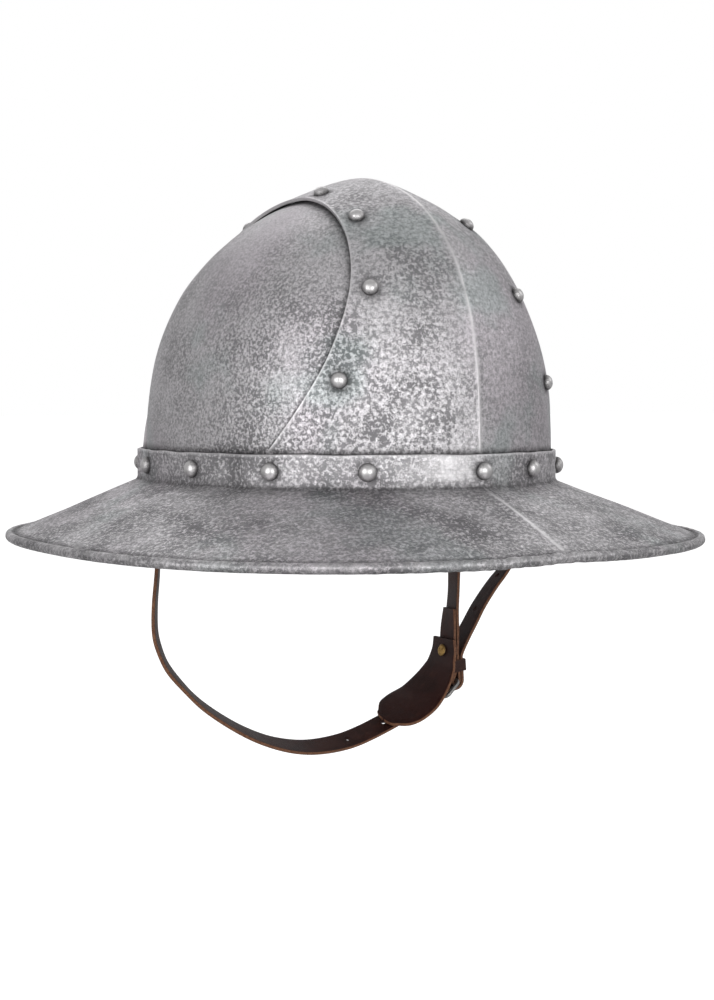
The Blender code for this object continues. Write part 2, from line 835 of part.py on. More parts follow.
def prong_cutter(cutters):
    # Slot for the prong through the fold, and its hole through the strap
    heel, down, out = buckle_frame_axes()
    work = bmesh.new()
    width = PRONG_WIRE + 4.0 * GAP
    frame = Matrix((down, Vector((0.0, 1.0, 0.0)), out)).transposed().to_4x4()
    reach = BUCKLE_LENGTH - BUCKLE_WIRE
    lift = 0.5 * (BUCKLE_WIRE + PRONG_WIRE) + GAP
    middle = heel + out * lift + down * 0.5 * BUCKLE_LENGTH
    size = Matrix.Diagonal((reach, width, width, 1.0))
    bmesh.ops.create_cube(work, size=1.0, matrix=Matrix.Translation(middle) @ frame @ size)
    hole = cutter_from("prong_hole", work, cutters)
    work = bmesh.new()
    fold = 2.0 * (0.5 * BUCKLE_WIRE + GAP + STRAP_THICKNESS) + 2.0 * GAP
    size = Matrix.Diagonal((fold + PRONG_WIRE, width, fold, 1.0))
    bmesh.ops.create_cube(work, size=1.0, matrix=Matrix.Translation(heel) @ frame @ size)
    slot = cutter_from("fold_slot", work, cutters)
    return hole, slot


def short_route():
    # Down from its rivet, round the heel bar and back up behind itself
    heel, _, _ = buckle_frame_axes()
    way, out = fold_axes()
    radius = fold_radius()
    rows = route_points(SHORT_ROUTE)
    route = smooth_route(root_knots(1.0) + rows + [(keeper_middle() + out * 0.5 * layer_pitch(), 0.0)])
    for angle in range(0, 181, 30):
        arc = math.radians(angle)
        route.append((heel + (out * math.cos(arc) + way * math.sin(arc)) * radius, 0.0))
    inner = keeper_middle() - out * 0.5 * layer_pitch()
    back = [(inner + way * share * KEEPER_LENGTH, 0.0) for share in (0.5, -0.5)]
    for row in (-1, -2, -3):
        point, turn = rows[row]
        ahead = rows[row + 1][0] if row < -1 else keeper_middle() + out * 0.5 * layer_pitch()
        step = (ahead - rows[row - 1][0]).normalized()
        back.append((point + Vector((step.z, 0.0, -step.x)) * layer_pitch(), -turn))
    return route + smooth_route(back, 2)


def pad_depth():
    # From the middle of the outer strap layer to the middle of the pad inside it
    return 1.5 * STRAP_THICKNESS + 2.0 * GAP + 0.5 * PAD_THICKNESS


def pad_sections():
    # The pad lies inside the straps and ends in a rounded tongue
    line = route_points(PAD_ROUTE)
    knots = [(point, turn, row.half_width * PAD_WIDTH) for (point, turn), row in zip(line, PAD_ROUTE)]
    route = smooth_route(knots, 2)
    return [section._replace(centre=section.centre
                             - section.tangent.cross(section.side).normalized() * pad_depth())
            for section in strap_sections(route, [half for _, _, half in route])]


def pad_rivet(brass, group, cutters):
    # Brass rivet through the pad and both layers of the short strap
    last = route_points(SHORT_ROUTE)[-1][0]
    place = min(pad_sections(), key=lambda section: abs(section.centre.z - last.z))
    inward = place.side.cross(place.tangent).normalized()
    face = place.centre + inward * (0.5 * PAD_THICKNESS + 2.0 * GAP)
    length = (face - last).dot(inward) + 0.5 * STRAP_THICKNESS + 2.0 * GAP
    mesh = rivet_mesh("pad_rivet", PAD_RIVET_HEAD, PAD_RIVET_RISE, length, PAD_RIVET_TAIL)
    item = turned_rivet("pad_rivet", mesh, face, inward, brass, group)
    work = bmesh.new()
    add_hole(work, face, inward, SHANK + 2.0 * GAP, 3.0 * length)
    return item, cutter_from("pad_rivet_hole", work, cutters)


def straps(leather, group, cutters):
    # The long strap with its holes, and the short strap folded round the heel bar
    route = chin_route()
    halves = free_half_widths(route)
    long_strap = swept_strap("chin_strap", strap_sections(route, halves), STRAP_THICKNESS, leather, group)
    fold = short_route()
    sections = strap_sections(fold, [0.5 * STRAP_WIDTH] * len(fold))
    short = swept_strap("buckle_strap", sections, STRAP_THICKNESS, leather, group)
    return long_strap, short, route


def keeper(leather, group):
    # Leather loop round the short strap and the free end
    down, out = fold_axes()
    across = Vector((0.0, 1.0, 0.0))
    layers = 3.0 * STRAP_THICKNESS + 3.0 * GAP
    middle = keeper_middle() + out * 0.5 * layer_pitch()
    wide = 0.5 * STRAP_WIDTH + GAP
    deep = 0.5 * layers + GAP
    points = []
    for reach in (0.0, KEEPER_WALL):
        for level in (-0.5, 0.5):
            for side_y, side_o in ((-1, -1), (1, -1), (1, 1), (-1, 1)):
                points.append(middle + across * side_y * (wide + reach)
                              + out * side_o * (deep + reach) + down * level * KEEPER_LENGTH)
    faces = []
    for corner in range(4):
        after = (corner + 1) % 4
        for first, second in ((0, 4), (4, 12), (12, 8), (8, 0)):
            faces.append((first + corner, first + after, second + after, second + corner))
    return add_object("strap_keeper", mesh_from("strap_keeper", points, faces), leather, group)


def main():
    clear_scene()
    group = new_collection("kettle_hat")
    cutters = new_collection("cutters")
    steel = new_material("centre_steel", STEEL_COLOUR, 1.0, 0.42)
    side_steel = new_material("side_steel", SIDE_COLOUR, 1.0, 0.46)
    brim_steel = new_material("brim_steel", BRIM_COLOUR, 1.0, 0.50)
    rivet_steel = new_material("rivet_steel", RIVET_COLOUR, 1.0, 0.30)
    centre = centre_plate(steel, group)
    right = side_plate("side_plate_right", -1.0, side_steel, group)
    left = side_plate("side_plate_left", 1.0, side_steel, group)
    rim = brim(brim_steel, group)
    holes = rivets(rivet_steel, group, cutters)
    for item in (centre, right, left, rim):
        cut(item, holes)
    leather = new_material("strap_leather", LEATHER_COLOUR, 0.0, 0.55)
    pad_leather = new_material("pad_leather", PAD_COLOUR, 0.0, 0.50)
    brass = new_material("brass", BRASS_COLOUR, 1.0, 0.35)
    iron = new_material("buckle_iron", IRON_COLOUR, 1.0, 0.38)
    long_strap, short, route = straps(leather, group, cutters)
    pad = swept_strap("buckle_pad", pad_sections(), PAD_THICKNESS, pad_leather, group)
    buckle(iron, group)
    prong(iron, group)
    keeper(leather, group)
    prong_hole, fold_slot = prong_cutter(cutters)
    heel, down, out = buckle_frame_axes()
    strap_holes = strap_hole_cutter(route, heel + down * 0.5 * BUCKLE_LENGTH, cutters)
    _, brass_hole = pad_rivet(brass, group, cutters)
    for item, cutter in ((long_strap, holes), (long_strap, strap_holes), (long_strap, prong_hole),
                         (short, holes), (short, fold_slot), (short, brass_hole), (pad, brass_hole)):
        cut(item, cutter)


main()
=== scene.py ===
import math

import bmesh
import bpy
from mathutils import Matrix, Vector, noise


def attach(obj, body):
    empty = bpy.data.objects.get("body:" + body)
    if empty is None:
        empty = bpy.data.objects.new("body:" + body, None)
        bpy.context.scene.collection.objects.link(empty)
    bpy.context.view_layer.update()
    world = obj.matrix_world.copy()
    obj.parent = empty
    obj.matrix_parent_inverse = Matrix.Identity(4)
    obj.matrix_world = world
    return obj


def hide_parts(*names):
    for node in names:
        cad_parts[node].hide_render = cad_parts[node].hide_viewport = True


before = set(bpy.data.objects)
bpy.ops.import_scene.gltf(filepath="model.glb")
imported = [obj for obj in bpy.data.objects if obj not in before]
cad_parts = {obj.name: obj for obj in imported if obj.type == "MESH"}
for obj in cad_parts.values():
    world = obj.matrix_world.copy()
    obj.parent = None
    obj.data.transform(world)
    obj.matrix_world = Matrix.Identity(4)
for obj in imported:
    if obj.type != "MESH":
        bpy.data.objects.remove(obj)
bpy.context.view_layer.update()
print("frame loaded")

# the crown: a keeled centre plate over two side plates
crown = {
    "halfWidth": 0.1038,
    "halfLength": 0.1168,
    "height": 0.1554,
    "lean": 0.0073,
    "keelHeight": 0.003,
    "keelReach": 0.035,
    "plate": 0.0016,
    "lapGap": 0.0006,
    "widthRise": 2.90,
    "widthClose": 1.54,
    "lengthRise": 2.90,
    "lengthClose": 1.82,
    "planPower": 2.10,
    "dent": 0.00042,  # depth of the hammer marks
    "dentSize": 0.034,
    "edgeLift": 0.0010,  # the plate's upper edge stands off a little
    "plateRounding": 0.0003,
    "keelRows": (0.0019, 0.0009, 0.0003),  # extra rows of points beside the ridge
    "keelLine": 0.0009,  # half width of the bright line on the ridge: wear and painted highlight
    "bandShadow": 0.0142,  # painted shade: the plates are black below this height
    "litSide": (-0.62, -0.78),  # the lit side, where the etching stays crisp
    "smoothFrom": 0.098,
    "fanSteps": 300,
    "columns": 34,
    "rings": 70,
    # fan angle over the head, edge of the plate and its lap, as shares of the half width
    "window": [(0, 0.885, 0.200), (12, 0.840, 0.200), (24, 0.748, 0.205), (36, 0.620, 0.205),
               (48, 0.500, 0.180), (60, 0.420, 0.160), (75, 0.362, 0.145), (90, 0.335, 0.135)],
}


def fadeOut(distance, reach):  # one at the place, nothing from the reach on
    return max(0.0, 1.0 - distance / reach)


def catmull(before, start, end, after, share):
    square = share * share
    cube = square * share
    return 0.5 * (2.0 * start + (end - before) * share
                  + (2.0 * before - 5.0 * start + 4.0 * end - after) * square
                  + (3.0 * start - before - 3.0 * end + after) * cube)


def windowAt(fan):
    rows = crown["window"]
    angle = min(fan, 180.0 - fan)
    last = len(rows) - 1
    index = max(row for row in range(last) if rows[row][0] <= angle or row == 0)
    start, end = rows[index], rows[index + 1]
    before = rows[max(index - 1, 0)]
    after = rows[index + 2] if index + 2 <= last else rows[last - 1]
    share = (angle - start[0]) / (end[0] - start[0])
    return [catmull(before[k], start[k], end[k], after[k], share) * crown["halfWidth"] for k in (1, 2)]


def keel(across):
    return crown["keelHeight"] * fadeOut(abs(across), crown["keelReach"]) ** 2


def crownSection(height):
    share = min(abs(height) / (crown["height"] - crown["keelHeight"]), 0.999999)
    width = crown["halfWidth"] * (1.0 - share ** crown["widthRise"]) ** (1.0 / crown["widthClose"])
    full = crown["halfLength"] - crown["keelHeight"]
    length = full * (1.0 - share ** crown["lengthRise"]) ** (1.0 / crown["lengthClose"])
    return width, length, -crown["lean"] * share * share


def crownValue(x, y, z):  # below 1 inside the crown, above 1 outside
    radius = math.hypot(y, z)
    inner = max(radius - keel(x), 0.0) / max(radius, 1e-9)
    height = z * inner
    if abs(height) >= crown["height"] - crown["keelHeight"]:
        return 2.0
    width, length, shift = crownSection(height)
    power = crown["planPower"]
    return abs(x / width) ** power + abs((y * inner - shift) / length) ** power


def crownAtFan(across, fan):
    angle = math.radians(fan)
    wayY, wayZ = -math.cos(angle), math.sin(angle)
    near, far = 0.0, 2.0 * crown["height"]
    for _ in range(32):
        middle = 0.5 * (near + far)
        if crownValue(across, wayY * middle, wayZ * middle) < 1.0:
            near = middle
        else:
            far = middle
    return Vector((across, wayY * near, wayZ * near))


def crownAtSide(side, along, height):
    width, length, shift = crownSection(height)
    share = min(abs((along - shift) / length), 1.0)
    power = crown["planPower"]
    return Vector((side * width * (1.0 - share ** power) ** (1.0 / power), along, height))


def squared(turn, power):  # sine and cosine on an oval that is fuller than an ellipse
    parts = math.sin(turn), math.cos(turn)
    return [math.copysign(abs(part) ** (2.0 / power), part) for part in parts]


def crownAtTurn(turn, height):
    width, length, shift = crownSection(height)
    sine, cosine = squared(turn, crown["planPower"])
    across, along = width * sine, shift - length * cosine
    grow = 1.0 + keel(across) / max(math.hypot(along, height), 1e-9)
    return Vector((across, along * grow, height * grow))


def crownNormal(point):
    step = 2e-5
    x, y, z = point
    slope = Vector((crownValue(x + step, y, z) - crownValue(x - step, y, z),
                    crownValue(x, y + step, z) - crownValue(x, y - step, z),
                    crownValue(x, y, z + step) - crownValue(x, y, z - step)))
    return slope.normalized()


def planNormal(turn):
    along = crownAtTurn(turn + 1e-3, 0.0) - crownAtTurn(turn - 1e-3, 0.0)
    return Vector((along.y, -along.x, 0.0)).normalized()


sideDepth = crown["plate"] + crown["lapGap"]


def crownDepth(turn):
    edge, lap = windowAt(0.0)
    if abs(crownAtTurn(turn, 0.0).x) < edge - lap:
        return crown["plate"]
    return sideDepth + crown["plate"]


def dentAt(point):  # soft hammer marks, the same for plates that lie on each other
    size = crown["dentSize"]
    soft = noise.noise(point / size) + 0.45 * noise.noise(point / (0.45 * size))
    fade = min(max((point.z - 0.004) / 0.02, 0.0), 1.0)
    return crown["dent"] * soft * fade


def paintedShadeEvenAt(point):  # painted shade: where the etching is drawn as an even grey, high up, behind, far side from the light
    high = min(max((point.z - crown["smoothFrom"]) / 0.045, 0.0), 1.0)
    way = point.normalized()
    facing = way.x * crown["litSide"][0] + way.y * crown["litSide"][1]
    away = min(max((0.84 - facing) / 0.50, 0.0), 1.0)
    return max(0.72 * high, 0.80 * away)


def gridFaces(rows, columns, roundRows=False, roundColumns=False):
    faces = []
    for row in range(rows if roundRows else rows - 1):
        first, second = row * columns, (row + 1) % rows * columns
        for column in range(columns if roundColumns else columns - 1):
            after = (column + 1) % columns
            faces.append((first + column, first + after, second + after, second + column))
    return faces


def endFaces(rings, count):  # the two ends of a tube
    return [range(count)[::-1], range((rings - 1) * count, rings * count)]


def newObject(name, data):
    made = bpy.data.objects.new(name, data)
    bpy.context.scene.collection.objects.link(made)
    return made


def around(middle, first, second, angle, radius):  # on a circle, degrees from first to second
    arc = math.radians(angle)
    return middle + (first * math.cos(arc) + second * math.sin(arc)) * radius


def cornerTurns(step):  # the four corners of a rounded rectangle, one after the other
    for across, along, start in ((-1, -1, 180), (1, -1, 270), (1, 1, 0), (-1, 1, 90)):
        for angle in range(start, start + 91, step):
            yield across, along, angle


def standing(point, way):  # a place at the point with Z along the way
    return Matrix.Translation(point) @ way.to_track_quat("Z", "Y").to_matrix().to_4x4()


def pieceFrom(name, corners, faces, labels, sharp):  # each corner is a point and its masks
    points, *masks = zip(*corners)
    mesh = bpy.data.meshes.new(name)
    mesh.from_pydata(points, [], faces)
    for label, values in zip(labels, masks):
        mesh.attributes.new(label, "FLOAT", "POINT").data.foreach_set("value", values)
    work = bmesh.new()
    work.from_mesh(mesh)
    bmesh.ops.recalc_face_normals(work, faces=work.faces)
    work.to_mesh(mesh)
    work.free()
    mesh.shade_smooth()
    mesh.set_sharp_from_angle(angle=math.radians(sharp))
    return newObject(name, mesh)


def sheetMetal(piece):  # turned outward, and given its thickness and rounded edges
    mesh = piece.data
    middle = Vector((0.0, 0.0, 0.06))
    some = list(mesh.polygons)[::50]
    if sum((Vector(face.center) - middle).dot(face.normal) for face in some) < 0.0:
        mesh.flip_normals()
    plate = piece.modifiers.new("plate", "SOLIDIFY")
    plate.thickness = crown["plate"]
    plate.offset = -1.0
    plate.use_even_offset = True
    rounded = piece.modifiers.new("edges", "BEVEL")
    rounded.width = crown["plateRounding"]
    rounded.segments = 2
    rounded.limit_method = "ANGLE"
    rounded.angle_limit = math.radians(50)
    return piece


def settle(piece, material, node):  # hand the piece to the frame
    piece.data.materials.clear()
    piece.data.materials.append(material)
    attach(piece, "root")
    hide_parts(node)


# rivets: places first, because the plates get painted shade round them
rivets = {
    "bandHead": 0.0088,
    "crownHead": 0.0080,
    "rise": 0.42,
    "shank": 0.0036,
    "tail": 0.0060,
    "tailThickness": 0.0009,
    "bandHeight": 0.0058,
    "standOff": 0.0003,  # the head lies this far off the plate
    "spare": 0.0011,  # how far the shank passes the last plate
    "strapHole": 0.0042,
    "strapTurn": 1.83,
    "crownFans": (28.0, 45.7, 64.2, 81.0, 109.0, 123.0, 137.5, 152.0),
    "bandTurns": (0.0, 0.345, 0.79, 1.30, 1.83, 2.27, 2.71, math.pi,
                  -0.517, -0.95, -1.40, -1.83, -2.27, -2.71),
    "halo": 0.0075,  # how far the painted shade reaches round a head
    "sides": 28,
    "hammered": 0.00011,  # how uneven a head is
    "rim": 0.00012,  # how far the head's flat side lies below its dome
}


def crownRivetPlaces():
    places = []
    for side in (-1.0, 1.0):
        for fan in rivets["crownFans"]:
            edge, lap = windowAt(fan)
            point = crownAtFan(side * (edge - 0.5 * lap), fan)
            places.append((point, crownNormal(point)))
    return places


def bandPaintedShade(point, reach):  # painted shade: black from the band up, and behind it
    return fadeOut(point.z - crown["bandShadow"], reach) if point.z > 0.01 else 1.0


# painted shade round the rivet heads
def paintedShadeNear(point, places, reach):
    close = min((point - place[0]).length for place in places)
    return max(0.0, min(1.0, (reach - close) / (0.45 * reach)))


brim = {
    "bandHeight": 0.0138,
    "clearance": 0.0008,
    "stepTurn": 0.10,
    "fillet": 0.0022,
    "foot": 0.0022,  # how far the band reaches below the head opening
    "rounding": 0.00035,  # of the band's upper edge
    "rimHalfWidth": 0.1729,
    "rimHalfLength": 0.1768,
    "drop": 0.0310,
    "forward": 0.0059,
    "power": 2.39,
    "bead": 0.0048,
    "beadStand": 0.0008,
    "crease": 0.0009,  # how far the ridge lifts the rolled edge
    "slopeCrease": 0.0012,  # and the slope at its middle
    "creaseLine": 0.0010,  # half width of the bright line on it: wear and painted highlight
    "wave": 0.0006,  # how uneven the sheet is
    "crinkle": 0.0009,  # folds in the rolled edge beside the front crease
    "foldsFrom": -0.100,
    "foldsTo": 0.008,
    "rubbedTurn": -0.15,  # where the band is rubbed bright
    "stations": 480,
    "creaseTurns": (0.0011, 0.0030, 0.0060),  # extra stations beside the ridge
    "slopeSteps": 16,
    "rollSteps": 13,
    "backSteps": 8,
}


def bandInset(turn):
    sideTurn = abs(abs(turn) - 0.5 * math.pi)
    edge = windowAt(0.0)[0]
    edgeTurn = 0.5 * math.pi - math.asin((edge / crown["halfWidth"]) ** (0.5 * crown["planPower"]))
    share = min(max((edgeTurn - sideTurn) / brim["stepTurn"], 0.0), 1.0)
    return sideDepth * share * share * (3.0 - 2.0 * share)


def bandPoint(turn, height, outside):
    offset = brim["clearance"] - bandInset(turn) + (crown["plate"] if outside else 0.0)
    foot = crownAtTurn(turn, 0.0)
    return Vector((foot.x, foot.y, height)) + planNormal(turn) * offset


def rimPoint(turn):
    across, along = squared(turn, brim["power"])
    return Vector((brim["rimHalfWidth"] * across,
                   -brim["forward"] - brim["rimHalfLength"] * along, -brim["drop"]))


def bandRivetPlaces():
    places = []
    for turn in rivets["bandTurns"]:
        point = bandPoint(turn, rivets["bandHeight"], True)
        depth = brim["clearance"] - bandInset(turn) + crown["plate"] + crownDepth(turn)
        depth += keel(point.x) - keel(abs(point.x) + 0.5 * rivets["tail"])
        if abs(turn) == rivets["strapTurn"]:
            depth += 0.0028
        places.append((point, planNormal(turn), depth))
    return places


crownPlaces = crownRivetPlaces()
bandPlaces = bandRivetPlaces()


def waveAt(point, share):  # the uneven sheet, and the ridge that runs down the front
    soft = math.sin(math.pi * share)
    lift = brim["wave"] * soft * (noise.noise(point * 22.0) + 0.5 * noise.noise(point * 55.0))
    if point.y < 0.0:
        lift += brim["slopeCrease"] * soft * fadeOut(abs(point.x), crown["keelReach"]) ** 2
    return lift


def brimRow(turn):  # outline of one station: points with their wear and painted highlight, and their painted shade and grime
    up = Vector((0.0, 0.0, 1.0))
    front = bandPoint(turn, -brim["foot"], True)
    rim = rimPoint(turn)
    level = Vector((rim.x - front.x, rim.y - front.y, 0.0)).normalized()
    roll = 0.5 * brim["bead"]
    ridge = brim["crease"] * fadeOut(abs(rim.x), crown["keelReach"])
    centre = rim - level * roll + up * (ridge if rim.y < 0.0 else 0.6 * ridge)
    folds = 0.16
    if rim.y < 0.0 and brim["foldsFrom"] < rim.x < brim["foldsTo"]:
        folds += 0.84 * min(1.0, (rim.x - brim["foldsFrom"]) / 0.05)
    jitter = folds * (noise.noise(rim * 210.0) + 0.7 * abs(noise.noise(rim * 470.0)))
    centre += (level * 0.5 + up) * jitter * brim["crinkle"]
    groove = centre - level * roll + up * (roll - brim["beadStand"])
    slope = (groove - front).normalized()
    out = Vector((-slope.z * level.x, -slope.z * level.y, slope.dot(level)))
    fillet, plate, rounding = brim["fillet"], crown["plate"], brim["rounding"]
    start, end = front + up * fillet, front + slope * fillet
    top = brim["bandHeight"] + 0.0005 * noise.noise(front * 60.0)
    outward = planNormal(turn)
    outerTop = bandPoint(turn, top, True)
    row = [(outerTop - outward * rounding, 0.45, 0.0), (outerTop - up * rounding, 0.30, 0.0)]
    polished = math.exp(-((turn - brim["rubbedTurn"]) / 0.10) ** 2)
    for share in (0.12, 0.3, 0.5, 0.75):
        rubbed = 0.55 + 0.5 * noise.noise(Vector((turn * 60.0, share * 9.0, 0.0)))
        row.append((outerTop.lerp(start, share), polished * rubbed, 0.1 * share))
    # painted shade in the bend between band and brim
    for step in range(7):
        share = step / 6.0
        bend = start * (1 - share) ** 2 + front * 2 * share * (1 - share) + end * share ** 2
        row.append((bend, 0.0, 0.85 - abs(share - 0.5)))
    length = (groove - end).length
    for step in range(1, brim["slopeSteps"]):
        share = step / brim["slopeSteps"]
        point = end.lerp(groove, share)
        # the bright line on the front ridge: wear and painted highlight
        wear_and_sheen = 0.85 * math.exp(-(point.x / brim["creaseLine"]) ** 2) if point.y < 0.0 else 0.0
        # painted shade on the slope below the band; darker also towards the groove
        shade_and_grime = fadeOut(share * length, 0.006) + fadeOut((1.0 - share) * length, 0.004)
        row.append((point + out * waveAt(point, share), wear_and_sheen, 0.6 * shade_and_grime))
    # darker along the groove, and on the roll's side next to it below
    row.append((groove, 0.0, 1.0))
    for step in range(brim["rollSteps"]):
        angle = 122 - 254 * step / (brim["rollSteps"] - 1)
        spot = around(centre, level, up, angle, roll * (1.0 + 0.10 * jitter))
        wear_and_sheen = 0.34 * (0.5 + 1.3 * noise.noise(spot * 150.0)) if 1 <= step <= 5 else 0.0
        shade_and_grime = 0.8 if step == 0 else 0.25 + 0.35 * max(0.0, noise.noise(spot * 120.0))
        row.append((spot, max(0.0, wear_and_sheen), shade_and_grime))
    # darker under the groove and the bend, and inside the band
    row.append((groove - out * plate - slope * plate * 0.2, 0.0, 0.8))
    for step in range(1, brim["backSteps"]):
        share = 1.0 - step / brim["backSteps"]
        point = end.lerp(groove, share)
        row.append((point + out * (waveAt(point, share) - plate), 0.0, 0.2))
    inner = bandPoint(turn, 0.0, False)
    bend = 0.25 * (start + 2.0 * front + end)
    row += [(end - out * plate, 0.0, 0.5), (bend - (level + out).normalized() * plate, 0.0, 0.6)]
    row += [(inner + up * (fillet - brim["foot"]), 0.0, 0.6), (inner + up * (top - rounding), 0.0, 0.4)]
    row += [(inner + up * top + outward * rounding, 0.5, 0.0)]
    return row


def makeBrim():
    corners = []
    count = brim["stations"]
    turns = [2.0 * math.pi * step / count - math.pi for step in range(count)]
    turns += [side * turn for side in (-1.0, 1.0) for turn in brim["creaseTurns"]]
    for turn in sorted(turns):
        for point, wear_and_sheen, shade_and_grime in brimRow(turn):
            # painted shade round the band rivets
            halo = 0.8 * paintedShadeNear(point, bandPlaces, rivets["halo"]) if point.z > 0.0 else 0.0
            corners.append((point, wear_and_sheen, max(shade_and_grime, halo)))
    faces = gridFaces(len(turns), len(corners) // len(turns), True, True)
    return pieceFrom("brim_and_band", corners, faces, ("wear_and_sheen", "shade_and_grime"), 50)


def makeCentrePlate():
    corners = []
    columns = crown["columns"]
    for step in range(crown["fanSteps"] + 1):
        fan = 180.0 * step / crown["fanSteps"]
        edge, lap = windowAt(fan)
        upper = fadeOut(abs(fan - 78.0), 34.0)
        shares = [math.sin(0.5 * math.pi * column / columns) for column in range(columns, 1, -1)]
        widths = [edge * share for share in shares] + list(crown["keelRows"])
        for across in [-width for width in widths] + [0.0] + widths[::-1]:
            point = crownAtFan(across, fan)
            fromEdge = edge - abs(across)
            lift = crown["edgeLift"] * upper * fadeOut(fromEdge, 0.009) ** 2
            # the bright line on the ridge: wear and painted highlight
            line = math.exp(-(across / crown["keelLine"]) ** 2) * (1.2 if fan < 120 else 0.5)
            line *= 0.65 + 0.45 * noise.noise(Vector((0.0, 0.0, 0.35 * fan)))
            wear_and_sheen = min(1.0, line + 0.55 * fadeOut(fromEdge, 0.0012))
            # painted shade round the rivets and at the band's top edge
            halo = 0.85 * paintedShadeNear(point, crownPlaces, rivets["halo"])
            spot = point + point.normalized() * (dentAt(point) + lift)
            corners.append((spot, wear_and_sheen, max(halo, bandPaintedShade(point, 0.0028)), paintedShadeEvenAt(point)))
    faces = gridFaces(crown["fanSteps"] + 1, 2 * len(widths) + 1)
    return sheetMetal(pieceFrom("keeled_centre_plate", corners, faces, ("wear_and_sheen", "shade_and_grime", "fade"), 35))


def makeSidePlate(side):
    corners = []
    rings = crown["rings"]
    for step in range(crown["fanSteps"] + 1):
        fan = 180.0 * step / crown["fanSteps"]
        edge, lap = windowAt(fan)
        rim = crownAtFan(side * edge, fan)
        row = [crownAtFan(side * (edge - share * lap), fan) for share in (1.0, 0.5, 0.12)] + [rim]
        for ring in range(rings, 0, -1):
            share = ring / (rings + 1)
            row.append(crownAtSide(side, rim.y * share, rim.z * share))
        for point in row:
            spot = point - crownNormal(point) * sideDepth + point.normalized() * dentAt(point)
            # painted shade along the seam under the centre plate's edge, and at the band's top edge
            shade_and_grime = max(fadeOut((point - rim).length, 0.0045), bandPaintedShade(point, 0.0035))
            corners.append((spot, 0.0, shade_and_grime, paintedShadeEvenAt(point)))
    columns = rings + 4
    faces = gridFaces(crown["fanSteps"] + 1, columns)
    foot = crownAtSide(side, 0.0, 0.0)
    corners.append((foot - crownNormal(foot) * sideDepth, 0.0, 1.0, 0.5))
    for step in range(crown["fanSteps"]):
        faces.append(((step + 1) * columns - 1, len(corners) - 1, (step + 2) * columns - 1))
    name = "rounded_plate_left" if side > 0 else "rounded_plate_right"
    return sheetMetal(pieceFrom(name, corners, faces, ("wear_and_sheen", "shade_and_grime", "fade"), 60))


def rivetMesh(name, head, riseShare, length, tailThickness, seed):
    # domed head above z = 0, shank and hammered tail below
    sides, rise, rim = rivets["sides"], head * riseShare, rivets["rim"]
    profile = [(0.5 * head * math.cos(math.radians(a)), rise * math.sin(math.radians(a)))
               for a in (84, 72, 60, 48, 36, 24, 12, 4, -3)]
    shank, tail = 0.5 * rivets["shank"], 0.5 * rivets["tail"]
    profile += [(0.47 * head, -rim), (shank, -rim), (shank, -length), (0.9 * tail, -length),
                (tail, -length - 0.4 * tailThickness), (0.8 * tail, -length - tailThickness)]
    corners = [(Vector((0.0, 0.0, rise)), 0.6, 0.0)]
    for radius, height in profile:
        for step in range(sides):
            angle = 2.0 * math.pi * step / sides
            spot = Vector((radius * math.cos(angle), radius * math.sin(angle), height))
            if height > 0.0:
                uneven = rivets["hammered"] * noise.noise(spot * 520.0 + Vector((seed, 0, 0)))
                spot += spot.normalized() * uneven
            wear_and_sheen = 0.45 if height > 0.60 * rise else 0.0
            # painted shade round the foot of the dome, and on the hidden shank and tail
            shade_and_grime = 1.1 * min(1.0, max(0.0, (0.62 * rise - height) / (0.5 * rise)))
            corners.append((spot, wear_and_sheen, shade_and_grime))
    corners.append((Vector((0.0, 0.0, -length - tailThickness)), 0.0, 0.4))
    last = len(corners) - 1
    faces = [[1 + corner for corner in face] for face in gridFaces(len(profile), sides, False, True)]
    for step in range(sides):
        after = (step + 1) % sides
        faces += [(0, 1 + step, 1 + after), (last, last - sides + after, last - sides + step)]
    return pieceFrom(name, corners, faces, ("wear_and_sheen", "shade_and_grime"), 60)


def setRivet(kind, count, point, normal, depth, seed):
    piece = rivetMesh(f"{kind}_rivet_dome_{count:02d}", rivets[kind + "Head"], rivets["rise"],
                      depth + rivets["spare"], rivets["tailThickness"], seed)
    piece.matrix_world = standing(point + normal * rivets["standOff"], normal)
    settle(piece, rivetSteel, f"{kind}_rivet_{count:02d}")


strap = {
    "width": 0.014,
    "thickness": 0.0020,
    "spread": 0.0970,
    "drop": 0.1540,
    "gap": 0.0003,
    "aboveRivet": 0.0075,
    "clearance": 0.0008,
    "samples": 9,
    "tipLength": 0.016,
    "tipWidth": 0.005,
    "hole": 0.0032,
    "wobble": 0.00018,  # how uneven the cut edges are
    "belly": 0.00006,  # how much thicker the middle is
    "pressed": 0.00004,
    "holeSpacing": 0.0257,
    "holes": (-3, -2, -1, 1, 2, 3),  # the prong sits in the one between
    # across as a share of the spread, down as a share of the drop, turn in degrees
    "chin": [(-0.990, 0.17, 24), (-0.993, 0.31, 31), (-1.010, 0.43, 33), (-1.011, 0.52, 33),
             (-0.990, 0.58, 31), (-0.940, 0.65, 27), (-0.850, 0.72, 22), (-0.740, 0.79, 20),
             (-0.590, 0.86, 19), (-0.430, 0.92, 19), (-0.265, 0.965, 19), (-0.100, 0.992, 20),
             (0.050, 1.000, 21), (0.210, 0.994, 22), (0.350, 0.975, 22), (0.490, 0.948, 21),
             (0.620, 0.921, 17), (0.745, 0.892, 11)],
    "free": [(1.075, 0.655, -2), (1.135, 0.600, -4), (1.200, 0.540, -6), (1.295, 0.470, -8),
             (1.400, 0.405, -8), (1.470, 0.360, -8)],
    "short": [(1.000, 0.16, -2), (1.008, 0.31, 8), (1.008, 0.45, 14), (0.999, 0.54, 12),
              (0.990, 0.62, 2), (0.986, 0.70, 0)],
    "heel": (0.976, 0.812),
}

